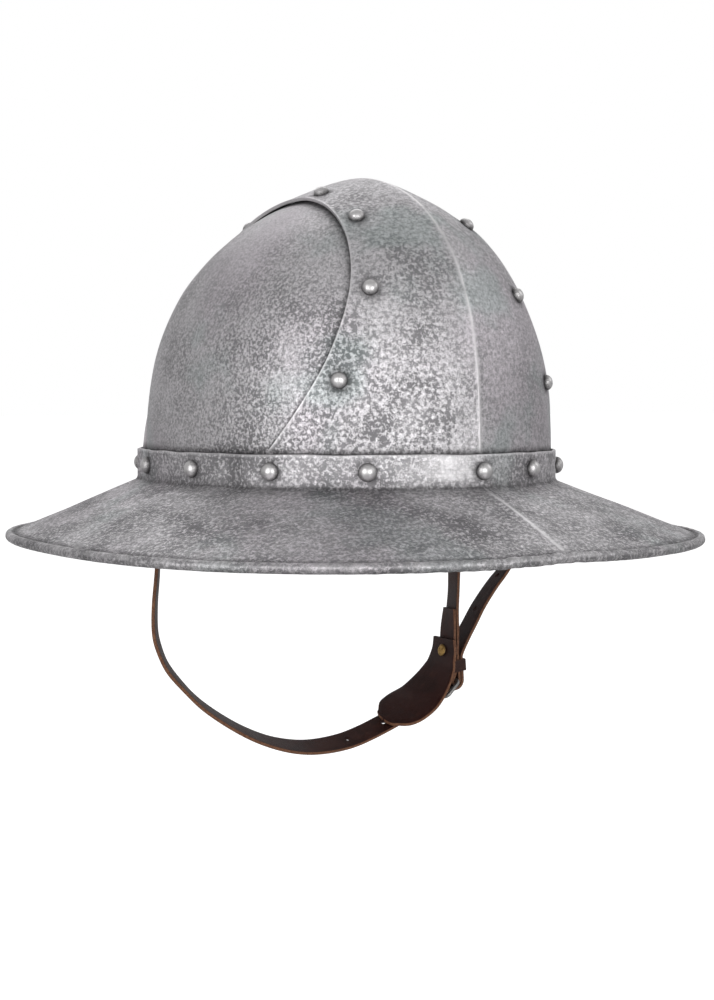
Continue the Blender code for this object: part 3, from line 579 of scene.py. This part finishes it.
pad = {
    "width": 0.033,
    "thickness": 0.0022,
    "roundEnd": 0.35,  # how far the end bows out, as a share of its half width
    # the strap line that it lies inside of, turn, and half width as a share of the width
    "route": [(0.986, 0.652, 0, 0.30), (0.984, 0.700, 0, 0.33), (0.968, 0.738, 0, 0.36),
              (0.942, 0.778, -3, 0.40), (0.874, 0.833, -7, 0.46), (0.772, 0.889, -12, 0.50),
              (0.660, 0.922, -17, 0.50), (0.574, 0.942, -19, 0.43), (0.515, 0.954, -20, 0.26)],
}

buckle = {
    "wire": 0.0024,
    "length": 0.0125,
    "tilt": math.radians(47.0),
    "sideGap": 0.0013,
    "prongWire": 0.0018,
    "keeperWall": 0.0010,
    "keeperLength": 0.0070,
    "keeperPlace": 0.0085,
    "rivetHead": 0.0073,
    "rivetRise": 0.14,
    "rivetTail": 0.0006,
}

leather, gap = strap["thickness"], strap["gap"]
pitch = leather + gap  # from one layer of leather to the next
foldRadius = 0.5 * buckle["wire"] + gap + 0.5 * leather
level = Vector((0.0, 1.0, 0.0))


def strapRoot(side):  # where a strap starts inside the crown, and how far the wall is turned there
    turn = side * rivets["strapTurn"]
    normal = planNormal(turn)
    depth = crownDepth(turn) + strap["clearance"] + 0.5 * leather
    return crownAtTurn(turn, 0.0) - normal * depth, math.atan2(abs(normal.y), abs(normal.x))


strapPlane = strapRoot(1.0)[0].y


def routePoints(rows):
    wide, deep = strap["spread"], strap["drop"]
    return [(Vector((row[0] * wide, strapPlane, -row[1] * deep)), row[2]) for row in rows]


def smoothRoute(knots, samples):
    fine = []
    last = len(knots) - 1
    for index in range(last):
        rows = [knots[min(max(index + shift, 0), last)] for shift in (-1, 0, 1, 2)]
        for step in range(samples):
            fields = zip(*rows)
            fine.append(tuple(catmull(*field, step / samples) for field in fields))
    fine.append(knots[last])
    return fine


def rootKnots(side):
    wall, tilt = strapRoot(side)
    turn = -side * math.degrees(tilt)
    top = rivets["bandHeight"] + strap["aboveRivet"]
    return [(Vector((wall.x, wall.y, height)), turn)
            for height in (top, rivets["bandHeight"], 0.0, -0.25 * top, -0.55 * top)]


heel = Vector((strap["heel"][0] * strap["spread"], strapPlane, -strap["heel"][1] * strap["drop"]))
buckleDown = Vector((-math.sin(buckle["tilt"]), 0.0, -math.cos(buckle["tilt"])))
buckleOut = Vector((math.cos(buckle["tilt"]), 0.0, -math.sin(buckle["tilt"])))


# the short strap runs straight from its last point to the fold round the heel bar
shortEnd = routePoints(strap["short"])[-1][0]
foldWay = (heel - shortEnd).normalized()
for _ in range(4):
    foldOut = Vector((-foldWay.z, 0.0, foldWay.x))
    foldWay = (heel + foldOut * foldRadius - shortEnd).normalized()
foldOut = Vector((-foldWay.z, 0.0, foldWay.x))
prongLift = 0.5 * (buckle["wire"] + buckle["prongWire"]) + gap
keeperMiddle = shortEnd + foldWay * buckle["keeperPlace"] - foldOut * 0.5 * pitch


def chinRoute():
    under = heel + buckleDown * buckle["length"] - buckleOut * (foldRadius + 2.0 * gap)
    radius = foldRadius + pitch
    samples = strap["samples"]
    before = smoothRoute(rootKnots(-1.0) + routePoints(strap["chin"]) + [(under, 0.0)], samples)
    back = under - heel
    start = math.degrees(math.atan2(back.z, back.x) + math.acos(radius / back.length))
    sweep = (math.degrees(math.atan2(foldOut.z, foldOut.x)) - start) % 360.0
    ahead, up = Vector((1.0, 0.0, 0.0)), Vector((0.0, 0.0, 1.0))
    arc = [(around(heel, ahead, up, start + sweep * step / 12, radius), 0.0) for step in range(13)]
    held = keeperMiddle + foldOut * (1.5 * pitch + 0.5 * gap)
    along = foldWay * buckle["keeperLength"]
    steps = (along * 0.5, along * -0.5, foldOut * 0.5 * leather - along)
    after = [(held + step, 0.0) for step in steps]
    return before + arc + smoothRoute(after + routePoints(strap["free"]), samples)


def shortRoute():
    rows = routePoints(strap["short"])
    outer = keeperMiddle + foldOut * 0.5 * pitch
    inner = keeperMiddle - foldOut * 0.5 * pitch
    route = smoothRoute(rootKnots(1.0) + rows + [(outer, 0.0)], strap["samples"])
    route += [(around(heel, foldOut, foldWay, angle, foldRadius), 0.0) for angle in range(0, 181, 12)]
    back = [(inner + foldWay * share * buckle["keeperLength"], 0.0) for share in (0.5, -0.5)]
    for row in (-1, -2, -3):
        point, turn = rows[row]
        ahead = rows[row + 1][0] if row < -1 else outer
        step = (ahead - rows[row - 1][0]).normalized()
        back.append((point + Vector((step.z, 0.0, -step.x)) * pitch, -turn))
    return route + smoothRoute(back, 6)


def widthWay(tangent, turn):
    inward = tangent.cross(level).normalized()
    return level * math.cos(math.radians(turn)) + inward * math.sin(math.radians(turn))


def routeSections(route, halves):
    sections = []
    last = len(route) - 1
    for index, half in enumerate(halves):
        tangent = (route[min(index + 1, last)][0] - route[max(index - 1, 0)][0]).normalized()
        sections.append((route[index][0], tangent, widthWay(tangent, route[index][1]), half))
    return sections


def leatherStrip(name, sections, thickness):
    # flat leather with round edges; each corner has its share across, its lift and the raw cut
    outline = [(share, 1.0, 0.0) for share in (-0.86, -0.5, 0.0, 0.5, 0.86)]
    outline += [(0.965, 0.93, 0.55), (1.0, 0.45, 1.0), (1.0, -0.45, 1.0), (0.965, -0.93, 0.55)]
    outline += [(-across, -lift, cut) for across, lift, cut in outline]
    corners = []
    walked = 0.0
    for index, (centre, tangent, side, reach) in enumerate(sections):
        if index:
            walked += (centre - sections[index - 1][0]).length
        up = tangent.cross(side).normalized()
        wobble = strap["wobble"] * noise.noise(Vector((walked * 60.0, 0.0, 3.0)))
        for across, lift, cut in outline:
            half = 0.5 * thickness + strap["belly"] * (1.0 - across * across) - strap["pressed"]
            raw = 1.0 if index in (0, len(sections) - 1) and cut > 0.5 else cut
            corners.append((centre + side * (reach + wobble) * across + up * lift * half, raw))
    rings, count = len(sections), len(outline)
    faces = gridFaces(rings, count, False, True) + endFaces(rings, count)
    return pieceFrom(name, corners, faces, ("cut",), 55)


def freeHalves(route):
    lengths = [0.0]
    for index in range(len(route) - 1, 0, -1):
        lengths.append(lengths[-1] + (route[index][0] - route[index - 1][0]).length)
    halves = []
    for distance in reversed(lengths):
        share = min(distance / strap["tipLength"], 1.0)
        wider = (strap["width"] - strap["tipWidth"]) * math.sqrt(share)
        halves.append(0.5 * (strap["tipWidth"] + wider))
    return halves


def pointAlong(route, start, distance):
    index = min(range(len(route)), key=lambda place: (route[place][0] - start).length)
    step = 1 if distance >= 0.0 else -1
    left = abs(distance)
    while True:
        here, there = route[index][0], route[index + step][0]
        span = (there - here).length
        if span >= left:
            way = (there - here).normalized()
            return here + way * left, way * step, route[index][1]
        left -= span
        index += step


def punchOut(piece, shapes):  # point, normal, diameter and depth for a hole, a matrix for a slot
    work = bmesh.new()
    for shape in shapes:
        if isinstance(shape, Matrix):
            bmesh.ops.create_cube(work, size=1.0, matrix=shape)
        else:
            point, normal, diameter, depth = shape
            bmesh.ops.create_cone(work, cap_ends=True, segments=20, radius1=0.5 * diameter,
                                  radius2=0.5 * diameter, depth=depth, matrix=standing(point, normal))
    mesh = bpy.data.meshes.new("punch")
    work.to_mesh(mesh)
    work.free()
    punch = newObject("punch", mesh)
    holes = piece.modifiers.new("holes", "BOOLEAN")
    holes.operation = "DIFFERENCE"
    holes.object = punch
    bpy.context.view_layer.update()
    made = bpy.data.meshes.new_from_object(piece.evaluated_get(bpy.context.evaluated_depsgraph_get()))
    piece.modifiers.clear()
    piece.data = made
    bpy.data.objects.remove(punch, do_unlink=True)


def wireTube(name, points, diameter, closed):
    sides, count = 14, len(points)
    corners = []
    for index, point in enumerate(points):
        before = points[(index - 1) % count] if closed or index else point
        after = points[(index + 1) % count] if closed or index < count - 1 else point
        way = (after - before).normalized()
        first = way.cross(level)
        if first.length < 0.2:
            first = way.cross(buckleOut)
        first.normalize()
        second = way.cross(first).normalized()
        size = 0.5 * diameter * (1.0 + 0.03 * noise.noise(point * 400.0))
        for step in range(sides):
            corners.append((around(point, first, second, 360.0 * step / sides, size), 0.25, 0.15))
    faces = gridFaces(count, sides, closed, True) + ([] if closed else endFaces(count, sides))
    return pieceFrom(name, corners, faces, ("wear_and_sheen", "shade_and_grime"), 50)


def makeBuckleFrame():
    half = 0.5 * (strap["width"] + buckle["wire"]) + buckle["sideGap"]
    corner = 1.2 * buckle["wire"]
    reach = 0.5 * buckle["length"]
    middle = heel + buckleDown * reach
    points = []
    for across, along, angle in cornerTurns(15):
        pivot = middle + level * across * (half - corner) + buckleDown * along * (reach - corner)
        points.append(around(pivot, level, buckleDown, angle, corner))
    return wireTube("buckle_wire_frame", points, buckle["wire"], True)


def makeProng():
    ring = [around(heel, -buckleDown, buckleOut, angle, prongLift) for angle in range(-150, 76, 15)]
    tip = heel + buckleDown * (buckle["length"] + 0.5 * buckle["wire"]) + buckleOut * prongLift
    ring += [(heel + buckleOut * prongLift).lerp(tip, 0.25 * step) for step in range(5)]
    return wireTube("buckle_tongue", ring, buckle["prongWire"], False)


def makeKeeper():  # a narrow leather loop, rounded where it turns
    middle = keeperMiddle + foldOut * 0.5 * pitch
    wall, length = buckle["keeperWall"], buckle["keeperLength"]
    wide = 0.5 * strap["width"] + gap
    deep = 1.5 * pitch + gap
    outline = [(0.0, -0.5, 0.0), (0.0, 0.5, 0.0), (0.75, 0.5, 0.75), (1.0, 0.43, 0.0),
               (1.0, -0.43, 0.0), (0.75, -0.5, 0.75)]
    corners = []
    for across, outward, angle in cornerTurns(18):
        pivot = middle + level * across * wide + foldOut * outward * deep
        for reach, along, cut in outline:
            spot = around(pivot, level, foldOut, angle, reach * wall)
            corners.append((spot + foldWay * along * length, cut))
    faces = gridFaces(len(corners) // len(outline), len(outline), True, True)
    return pieceFrom("strap_keeper_loop", corners, faces, ("cut",), 50)


padDepth = 1.5 * leather + 2.0 * gap + 0.5 * pad["thickness"]


def padSections():
    line = routePoints(pad["route"])
    knots = [(point, turn, row[3] * pad["width"]) for (point, turn), row in zip(line, pad["route"])]
    route = smoothRoute(knots, 10)
    sections = []
    for centre, tangent, side, half in routeSections(route, [row[2] for row in route]):
        sections.append((centre - tangent.cross(side).normalized() * padDepth, tangent, side, half))
    # the tongue closes in a round end
    centre, tangent, side, half = sections[-1]
    for angle in (20, 40, 58, 72, 83):
        arc = math.radians(angle)
        end = centre + tangent * half * pad["roundEnd"] * math.sin(arc)
        sections.append((end, tangent, side, half * math.cos(arc)))
    return sections


steelLook = {
    "bright": (0.84, 0.82, 0.84, 1.0),
    "dark": (0.170, 0.168, 0.174, 1.0),
    "warmTint": (0.80, 0.735, 0.79, 1.0),
    "coolTint": (0.63, 0.695, 0.685, 1.0),
    "coolDeep": (0.135, 0.168, 0.164, 1.0),
    # colour for wear, and for the painted highlight on the ridges
    "wornEdgeAndSheen": (0.86, 0.85, 0.85, 1.0),
    # colour for painted shade and for grime
    "shade_and_grime": (0.055, 0.053, 0.054, 1.0),
}

leatherLook = {
    "face": (0.058, 0.0205, 0.0150, 1.0),
    "shade": (0.026, 0.0092, 0.0072, 1.0),
    "rub": (0.098, 0.042, 0.028, 1.0),
    "edge": (0.250, 0.120, 0.064, 1.0),
}


class NodeBench:  # short hand for laying out one node tree
    def __init__(self, tree):
        self.tree = tree
        self.column = 0

    def node(self, kind, **settings):
        made = self.tree.nodes.new(kind)
        made.location = (self.column * 190, 0)
        self.column += 1
        for key, value in settings.items():
            setattr(made, key, value)
        return made

    def feed(self, node, **items):  # sockets by name, with _ for a space
        for name, item in items.items():
            self.plug(item, node.inputs[name.replace("_", " ")])

    def plug(self, item, socket):  # a value is typed in, an output is linked
        if isinstance(item, (int, float, tuple)):
            socket.default_value = item
        else:
            self.tree.links.new(item, socket)

    def noise(self, vector, scale, detail=3.0, roughness=0.5, distortion=0.0):
        made = self.node("ShaderNodeTexNoise")
        self.feed(made, Vector=vector, Scale=scale, Detail=detail, Roughness=roughness,
                  Distortion=distortion)
        return made.outputs["Fac"]

    def made(self, kind, *items, **settings):  # a node with its first sockets filled
        made = self.node(kind, **settings)
        for item, socket in zip(items, made.inputs):
            self.plug(item, socket)
        return made.outputs[0]

    def math(self, operation, *items):
        return self.made("ShaderNodeMath", *items, operation=operation)

    def times(self, first, second):
        return self.math("MULTIPLY", first, second)

    def line(self, value, slope, base):  # value times slope plus base
        return self.math("MULTIPLY_ADD", value, slope, base)

    def ramp(self, value, low, high, start=0.0, end=1.0):
        return self.made("ShaderNodeMapRange", value, low, high, start, end,
                         interpolation_type="SMOOTHSTEP")

    def mix(self, share, first, second, blend="MIX"):
        made = self.node("ShaderNodeMix", data_type="RGBA", blend_type=blend)
        for item, place in ((share, 0), (first, 6), (second, 7)):
            self.plug(item, made.inputs[place])
        return made.outputs[2]

    def join(self, share, first, second, output):  # two shaders, mixed by share
        self.plug(self.made("ShaderNodeMixShader", share, first, second), output.inputs["Surface"])


def newGroup(name, values):  # a vector comes in, and colour, roughness and height go out
    tree = bpy.data.node_groups.new(name, "ShaderNodeTree")
    tree.interface.new_socket(name="Vector", in_out="INPUT", socket_type="NodeSocketVector")
    for label, value in values.items():
        kind = "NodeSocketColor" if isinstance(value, tuple) else "NodeSocketFloat"
        tree.interface.new_socket(name=label, in_out="INPUT", socket_type=kind).default_value = value
    for label in ("Color", "Roughness", "Height"):
        kind = "NodeSocketColor" if label == "Color" else "NodeSocketFloat"
        tree.interface.new_socket(name=label, in_out="OUTPUT", socket_type=kind)
    bench = NodeBench(tree)
    return tree, bench, bench.node("NodeGroupInput").outputs


def etchedSteelGroup():
    tree, bench, inside = newGroup("etchedSteel", {
        "Speck Scale": 500.0, "Speck Amount": 0.5, "Tint": 0.5, "Streak": 0.3, "Fade": 0.0, "Wear_And_Sheen": 0.0,
        "Shade_And_Grime": 0.0, "Bright": steelLook["bright"], "Dark": steelLook["dark"]})
    vector, wear_and_sheen, tint = inside["Vector"], inside["Wear_And_Sheen"], inside["Tint"]
    specks = bench.noise(vector, inside["Speck Scale"], 6.0, 0.70, 0.25)
    patch = bench.noise(vector, 30.0, 4.0, 0.6)
    broad = bench.noise(vector, 11.0, 2.0, 0.5)
    # the acid bit deeper in some places than in others
    cutOff = bench.line(inside["Speck Amount"], 0.16, bench.line(patch, -0.26, 0.515))
    etched = bench.ramp(specks, cutOff, bench.math("ADD", cutOff, 0.055), 1.0, 0.0)
    low, high = bench.math("ADD", cutOff, 0.02), bench.math("ADD", cutOff, 0.20)
    middle = bench.ramp(specks, low, high, 0.45, 0.0)
    fine = bench.noise(vector, bench.times(inside["Speck Scale"], 2.3), 4.0, 0.65)
    pits = bench.ramp(fine, 0.38, 0.49, 1.0, 0.0)
    depth = bench.ramp(patch, 0.30, 0.62, 1.0, 0.74)
    dark = bench.math("MAXIMUM", bench.times(etched, depth), bench.times(pits, 0.60))
    dark = bench.math("MAXIMUM", dark, middle)
    # painted shade: away from the light side the etching is drawn as an even grey
    even = bench.times(inside["Fade"], bench.ramp(broad, 0.35, 0.65, 0.40, 0.85))
    plain = bench.line(pits, 0.40, 0.42)
    dark = bench.line(dark, bench.line(even, -1.0, 1.0), bench.times(even, plain))
    dark = bench.times(dark, bench.line(wear_and_sheen, -0.85, 1.0))
    warm = bench.times(bench.ramp(broad, 0.42, 0.60), tint)
    cool = bench.times(bench.ramp(bench.noise(vector, 17.0, 3.0, 0.55), 0.52, 0.66), tint)
    base = bench.mix(warm, inside["Bright"], steelLook["warmTint"])
    base = bench.mix(cool, base, steelLook["coolTint"])
    # long scratches of the polishing
    stretch = bench.node("ShaderNodeMapping")
    bench.feed(stretch, Vector=vector, Scale=(0.35, 0.35, 2.4))
    streaks = bench.noise(stretch.outputs[0], 330.0, 4.0, 0.65)
    shade = bench.line(bench.math("SUBTRACT", streaks, 0.5), inside["Streak"], 1.0)
    tone = bench.made("ShaderNodeCombineColor", shade, shade, shade)
    base = bench.mix(1.0, base, tone, "MULTIPLY")
    deep = bench.mix(cool, inside["Dark"], steelLook["coolDeep"])
    colour = bench.mix(bench.times(dark, 0.90), base, deep)
    # wear, and painted highlight on the ridges
    colour = bench.mix(bench.times(wear_and_sheen, 0.7), colour, steelLook["wornEdgeAndSheen"])
    # painted shade and grime, broken up by a mottle
    mottled = bench.ramp(bench.noise(vector, 240.0, 3.0, 0.6), 0.30, 0.72, 0.70, 1.0)
    shadeAndDirt = bench.times(inside["Shade_And_Grime"], mottled)
    colour = bench.mix(bench.times(shadeAndDirt, 0.88), colour, steelLook["shade_and_grime"])
    rough = bench.line(patch, 0.10, bench.line(dark, 0.26, 0.31))
    rough = bench.line(wear_and_sheen, -0.10, bench.line(shadeAndDirt, 0.22, rough))
    height = bench.line(streaks, 0.2, bench.line(dark, -0.8, bench.times(fine, 0.5)))
    bench.feed(bench.node("NodeGroupOutput"), Color=colour, Roughness=rough, Height=height)
    return tree


def leatherGroup():
    tree, bench, inside = newGroup("oiledLeather", {
        "Grain Scale": 900.0, "Rub": 0.5, "Cut": 0.0, "Face": leatherLook["face"]})
    vector = inside["Vector"]
    cells = bench.node("ShaderNodeTexVoronoi", feature="DISTANCE_TO_EDGE")
    bench.feed(cells, Vector=vector, Scale=inside["Grain Scale"])
    grain = bench.ramp(cells.outputs["Distance"], 0.0, 0.16)
    cloud = bench.noise(vector, 70.0, 4.0, 0.6)
    wrinkle = bench.noise(vector, 260.0, 4.0, 0.65, 0.6)
    colour = bench.mix(bench.ramp(cloud, 0.35, 0.62, 0.0, 0.8), leatherLook["shade"], inside["Face"])
    rubbed = bench.times(bench.ramp(wrinkle, 0.52, 0.74), inside["Rub"])
    colour = bench.mix(rubbed, colour, leatherLook["rub"])
    colour = bench.mix(bench.line(grain, -0.45, 0.45), colour, leatherLook["shade"])
    # the cut edges show paler fibres
    fibres = bench.noise(vector, 650.0, 3.0, 0.7)
    edge = bench.mix(bench.ramp(fibres, 0.35, 0.68, 0.0, 0.75), leatherLook["edge"], leatherLook["rub"])
    cut = bench.ramp(bench.line(fibres, 0.35, inside["Cut"]), 0.62, 0.95)
    colour = bench.mix(cut, colour, edge)
    rough = bench.line(cut, 0.25, bench.line(cloud, 0.24, 0.30))
    height = bench.line(grain, 0.5, bench.times(wrinkle, 0.9))
    bench.feed(bench.node("NodeGroupOutput"), Color=colour, Roughness=rough, Height=height)
    return tree


def finishWith(name, group, values, masks, metallic, bumpStrength, bumpDistance, shine=0.5):
    material = bpy.data.materials.new(name)
    material.use_nodes = True
    shader = material.node_tree.nodes["Principled BSDF"]
    bench = NodeBench(material.node_tree)
    bench.column = -6  # to the left of the shader
    place = bench.node("ShaderNodeTexCoord")
    effect = bench.node("ShaderNodeGroup", node_tree=group)
    bench.plug(place.outputs["Object"], effect.inputs["Vector"])
    for label, value in values.items():
        effect.inputs[label].default_value = value
    for label in masks:
        mask = bench.node("ShaderNodeAttribute", attribute_name=label.lower())
        bench.plug(mask.outputs["Fac"], effect.inputs[label])
    bump = bench.node("ShaderNodeBump")
    bench.feed(bump, Strength=bumpStrength, Distance=bumpDistance, Height=effect.outputs["Height"])
    bench.feed(shader, Metallic=metallic, Specular_IOR_Level=shine, Base_Color=effect.outputs["Color"],
               Roughness=effect.outputs["Roughness"], Normal=bump.outputs["Normal"])
    return material


steelGroup = etchedSteelGroup()
hideGroup = leatherGroup()
metalMasks = ("Wear_And_Sheen", "Shade_And_Grime")
plateMasks = ("Wear_And_Sheen", "Shade_And_Grime", "Fade")


def steelFinish(name, scale, amount, tint, streak, masks, bumpStrength, bumpDistance, **colours):
    values = {"Speck Scale": scale, "Speck Amount": amount, "Tint": tint, "Streak": streak, **colours}
    return finishWith(name, steelGroup, values, masks, 1.0, bumpStrength, bumpDistance)


centreSteel = steelFinish("mottledCentrePlate", 520.0, 0.44, 0.62, 0.50, plateMasks, 0.55, 0.00025)
sideSteel = steelFinish("mottledSidePlates", 700.0, 0.45, 0.50, 0.35, plateMasks, 0.50, 0.00025)
brimSteel = steelFinish("mottledBrim", 580.0, 0.66, 0.40, 1.10, metalMasks, 0.55, 0.00022,
                        Bright=(0.92, 0.90, 0.92, 1.0))
rivetSteel = steelFinish("rivetDomes", 700.0, -0.6, 0.15, 0.25, metalMasks, 0.35, 0.0001,
                         Bright=(0.66, 0.65, 0.645, 1.0))
buckleIron = steelFinish("dullBuckleWire", 900.0, 0.45, 0.2, 0.3, metalMasks, 0.4, 0.0001,
                         Bright=(0.40, 0.385, 0.36, 1.0))
wornBrass = steelFinish("wornBrass", 800.0, 0.25, 0.0, 0.3, ("Shade_And_Grime",), 0.35, 0.0001,
                        Bright=(0.62, 0.40, 0.14, 1.0), Dark=(0.20, 0.11, 0.035, 1.0))
strapLeather = finishWith("oiledStrapLeather", hideGroup, {"Grain Scale": 1150.0, "Rub": 0.55},
                          ("Cut",), 0.0, 0.45, 0.00022, 0.30)
padLeather = finishWith("oiledPadLeather", hideGroup,
                        {"Grain Scale": 1000.0, "Rub": 0.30, "Face": (0.046, 0.0145, 0.0115, 1.0)},
                        ("Cut",), 0.0, 0.45, 0.00022, 0.26)
print("finishes ready")

settle(makeBrim(), brimSteel, "brim")
settle(makeCentrePlate(), centreSteel, "centre_plate")
settle(makeSidePlate(-1.0), sideSteel, "side_plate_right")
settle(makeSidePlate(1.0), sideSteel, "side_plate_left")
print("plates and brim made")

stack = crown["plate"] + sideDepth
for count, (point, normal) in enumerate(crownPlaces, start=1):
    setRivet("crown", count, point + normal * dentAt(point), normal, stack, count)
for count, (point, normal, depth) in enumerate(bandPlaces, start=1):
    setRivet("band", count, point, normal, depth, 40 + count)
print("rivets set")

chinLine = chinRoute()
chinStrap = leatherStrip("chin_strap_leather", routeSections(chinLine, freeHalves(chinLine)), leather)
shortLine = shortRoute()
shortHalves = [0.5 * strap["width"]] * len(shortLine)
shortStrap = leatherStrip("buckle_strap_leather", routeSections(shortLine, shortHalves), leather)
padLine = padSections()
padPiece = leatherStrip("buckle_pad_leather", padLine, pad["thickness"])


def strapRivetHole(side):
    point, normal, depth = bandPlaces[rivets["bandTurns"].index(side * rivets["strapTurn"])]
    return point, normal, rivets["strapHole"], 4.0 * depth


# a slot for the prong in the chin strap, and one in the fold of the short strap
buckleTurn = Matrix((buckleDown, level, buckleOut)).transposed().to_4x4()
slotWidth = buckle["prongWire"] + 4.0 * gap
slotReach = buckle["length"] - buckle["wire"]
barMiddle = heel + buckleDown * 0.5 * buckle["length"]
prongSlot = (Matrix.Translation(barMiddle + buckleOut * prongLift) @ buckleTurn
             @ Matrix.Diagonal((slotReach, slotWidth, slotWidth, 1.0)))
fold = buckle["wire"] + 2.0 * leather + 4.0 * gap
foldSlot = (Matrix.Translation(heel) @ buckleTurn
            @ Matrix.Diagonal((fold + buckle["prongWire"], slotWidth, fold, 1.0)))
holes = [prongSlot, strapRivetHole(-1.0)]
for place in strap["holes"]:
    point, tangent, turn = pointAlong(chinLine, barMiddle, place * strap["holeSpacing"])
    holes.append((point, tangent.cross(widthWay(tangent, turn)), strap["hole"], 3.0 * leather))
punchOut(chinStrap, holes)

# the brass rivet goes through the pad and the short strap
middle, tangent, side, half = min(padLine, key=lambda section: abs(section[0].z - shortEnd.z))
inward = side.cross(tangent).normalized()
rivetFace = middle + inward * (0.5 * pad["thickness"] + 2.0 * gap)
rivetLength = (rivetFace - shortEnd).dot(inward) + 0.5 * leather + 2.0 * gap
rivetHole = (middle, inward, rivets["strapHole"], 3.0 * rivetLength)
punchOut(shortStrap, [foldSlot, rivetHole, strapRivetHole(1.0)])
punchOut(padPiece, [rivetHole])
settle(chinStrap, strapLeather, "chin_strap")
settle(shortStrap, strapLeather, "buckle_strap")
settle(padPiece, padLeather, "buckle_pad")
settle(makeKeeper(), strapLeather, "strap_keeper")
settle(makeBuckleFrame(), buckleIron, "buckle_frame")
settle(makeProng(), buckleIron, "buckle_prong")
brassRivet = rivetMesh("brass_pad_rivet", buckle["rivetHead"], buckle["rivetRise"],
                       rivetLength, buckle["rivetTail"], 90)
brassRivet.matrix_world = standing(rivetFace, inward)
settle(brassRivet, wornBrass, "pad_rivet")
print("straps hung")

view = {
    "direction": -34.05,  # degrees from the front, towards the wearer's right
    "height": 3.60,
    "place": (-0.4506, -0.6793, 0.0372),
    "lens": 54.77,
    "nearest": 0.02,
}

studio = {
    "floorHeight": -0.22,
    "floorSize": 30.0,
    "floorColour": (0.62, 0.62, 0.62, 1.0),
    "floorGlow": 0.80,
    # degrees from the front and up, then distance, width, height and power in watts
    "lights": [(-10.0, 8.0, 1.5, 1.0, 0.90, 6.8),
               (-66.0, 10.0, 1.6, 1.0, 1.1, 7.5),
               (60.0, 30.0, 1.6, 0.8, 0.8, 1.6),
               (150.0, 48.0, 1.6, 1.6, 0.9, 3.4)],
    "aim": (0.0, 0.0, 0.04),
    "skyColour": (1.0, 0.99, 1.0, 1.0),
    "skyTop": 0.50,
    "skyLow": 0.52,
}
white = (1.0, 1.0, 1.0, 1.0)


def wayTo(direction, height):
    turn, lift = math.radians(direction), math.radians(height)
    return Vector((math.sin(turn) * math.cos(lift), -math.cos(turn) * math.cos(lift), math.sin(lift)))


def makeCamera():
    data = bpy.data.cameras.new("studioCamera")
    data.sensor_fit = "VERTICAL"
    data.sensor_height = 36.0
    data.lens = view["lens"]
    data.clip_start = view["nearest"]
    camera = newObject("studioCamera", data)
    camera.matrix_world = standing(Vector(view["place"]), wayTo(view["direction"], view["height"]))
    bpy.context.scene.camera = camera


def makeFloor():
    work = bmesh.new()
    bmesh.ops.create_grid(work, x_segments=8, y_segments=8, size=studio["floorSize"])
    mesh = bpy.data.meshes.new("studioFloor")
    work.to_mesh(mesh)
    work.free()
    material = bpy.data.materials.new("paleFloor")
    material.use_nodes = True
    nodes = material.node_tree.nodes
    bench = NodeBench(material.node_tree)
    path = bench.node("ShaderNodeLightPath")
    glow = bench.times(path.outputs["Is Camera Ray"], studio["floorGlow"])
    shader = nodes["Principled BSDF"]
    bench.feed(shader, Base_Color=studio["floorColour"], Roughness=0.9, Emission_Color=white,
               Emission_Strength=glow)
    # from below the floor is clear, so the underside of the hat can be seen
    below = bench.node("ShaderNodeNewGeometry").outputs["Backfacing"]
    clear = bench.node("ShaderNodeBsdfTransparent")
    bench.join(below, shader.outputs[0], clear.outputs[0], nodes["Material Output"])
    mesh.materials.append(material)
    floor = newObject("studioFloor", mesh)
    floor.location.z = studio["floorHeight"]


def makeLight(direction, height, distance, wide, tall, power):
    data = bpy.data.lights.new("softbox", "AREA")
    data.shape = "RECTANGLE"
    data.size = wide
    data.size_y = tall
    data.energy = power
    way = wayTo(direction, height)
    newObject("softbox", data).matrix_world = standing(Vector(studio["aim"]) + way * distance, way)


def makeSky():  # lights the steel softly, and is plain white to the camera
    world = bpy.data.worlds.new("studioSky")
    world.use_nodes = True
    bpy.context.scene.world = world
    nodes = world.node_tree.nodes
    bench = NodeBench(world.node_tree)
    place = bench.node("ShaderNodeTexCoord")
    parts = bench.node("ShaderNodeSeparateXYZ")
    bench.plug(place.outputs["Generated"], parts.inputs[0])
    strength = bench.ramp(parts.outputs["Z"], -0.1, 0.7, studio["skyLow"], studio["skyTop"])
    sky = nodes["Background"]
    bench.feed(sky, Strength=strength, Color=studio["skyColour"])
    plain = bench.node("ShaderNodeBackground")
    bench.feed(plain, Strength=1.0, Color=white)
    path = bench.node("ShaderNodeLightPath")
    bench.join(path.outputs["Is Camera Ray"], sky.outputs[0], plain.outputs[0], nodes["World Output"])


bpy.context.scene.view_settings.view_transform = "Standard"
makeCamera()
makeFloor()
for lamp in studio["lights"]:
    makeLight(*lamp)
makeSky()
print("studio lit")
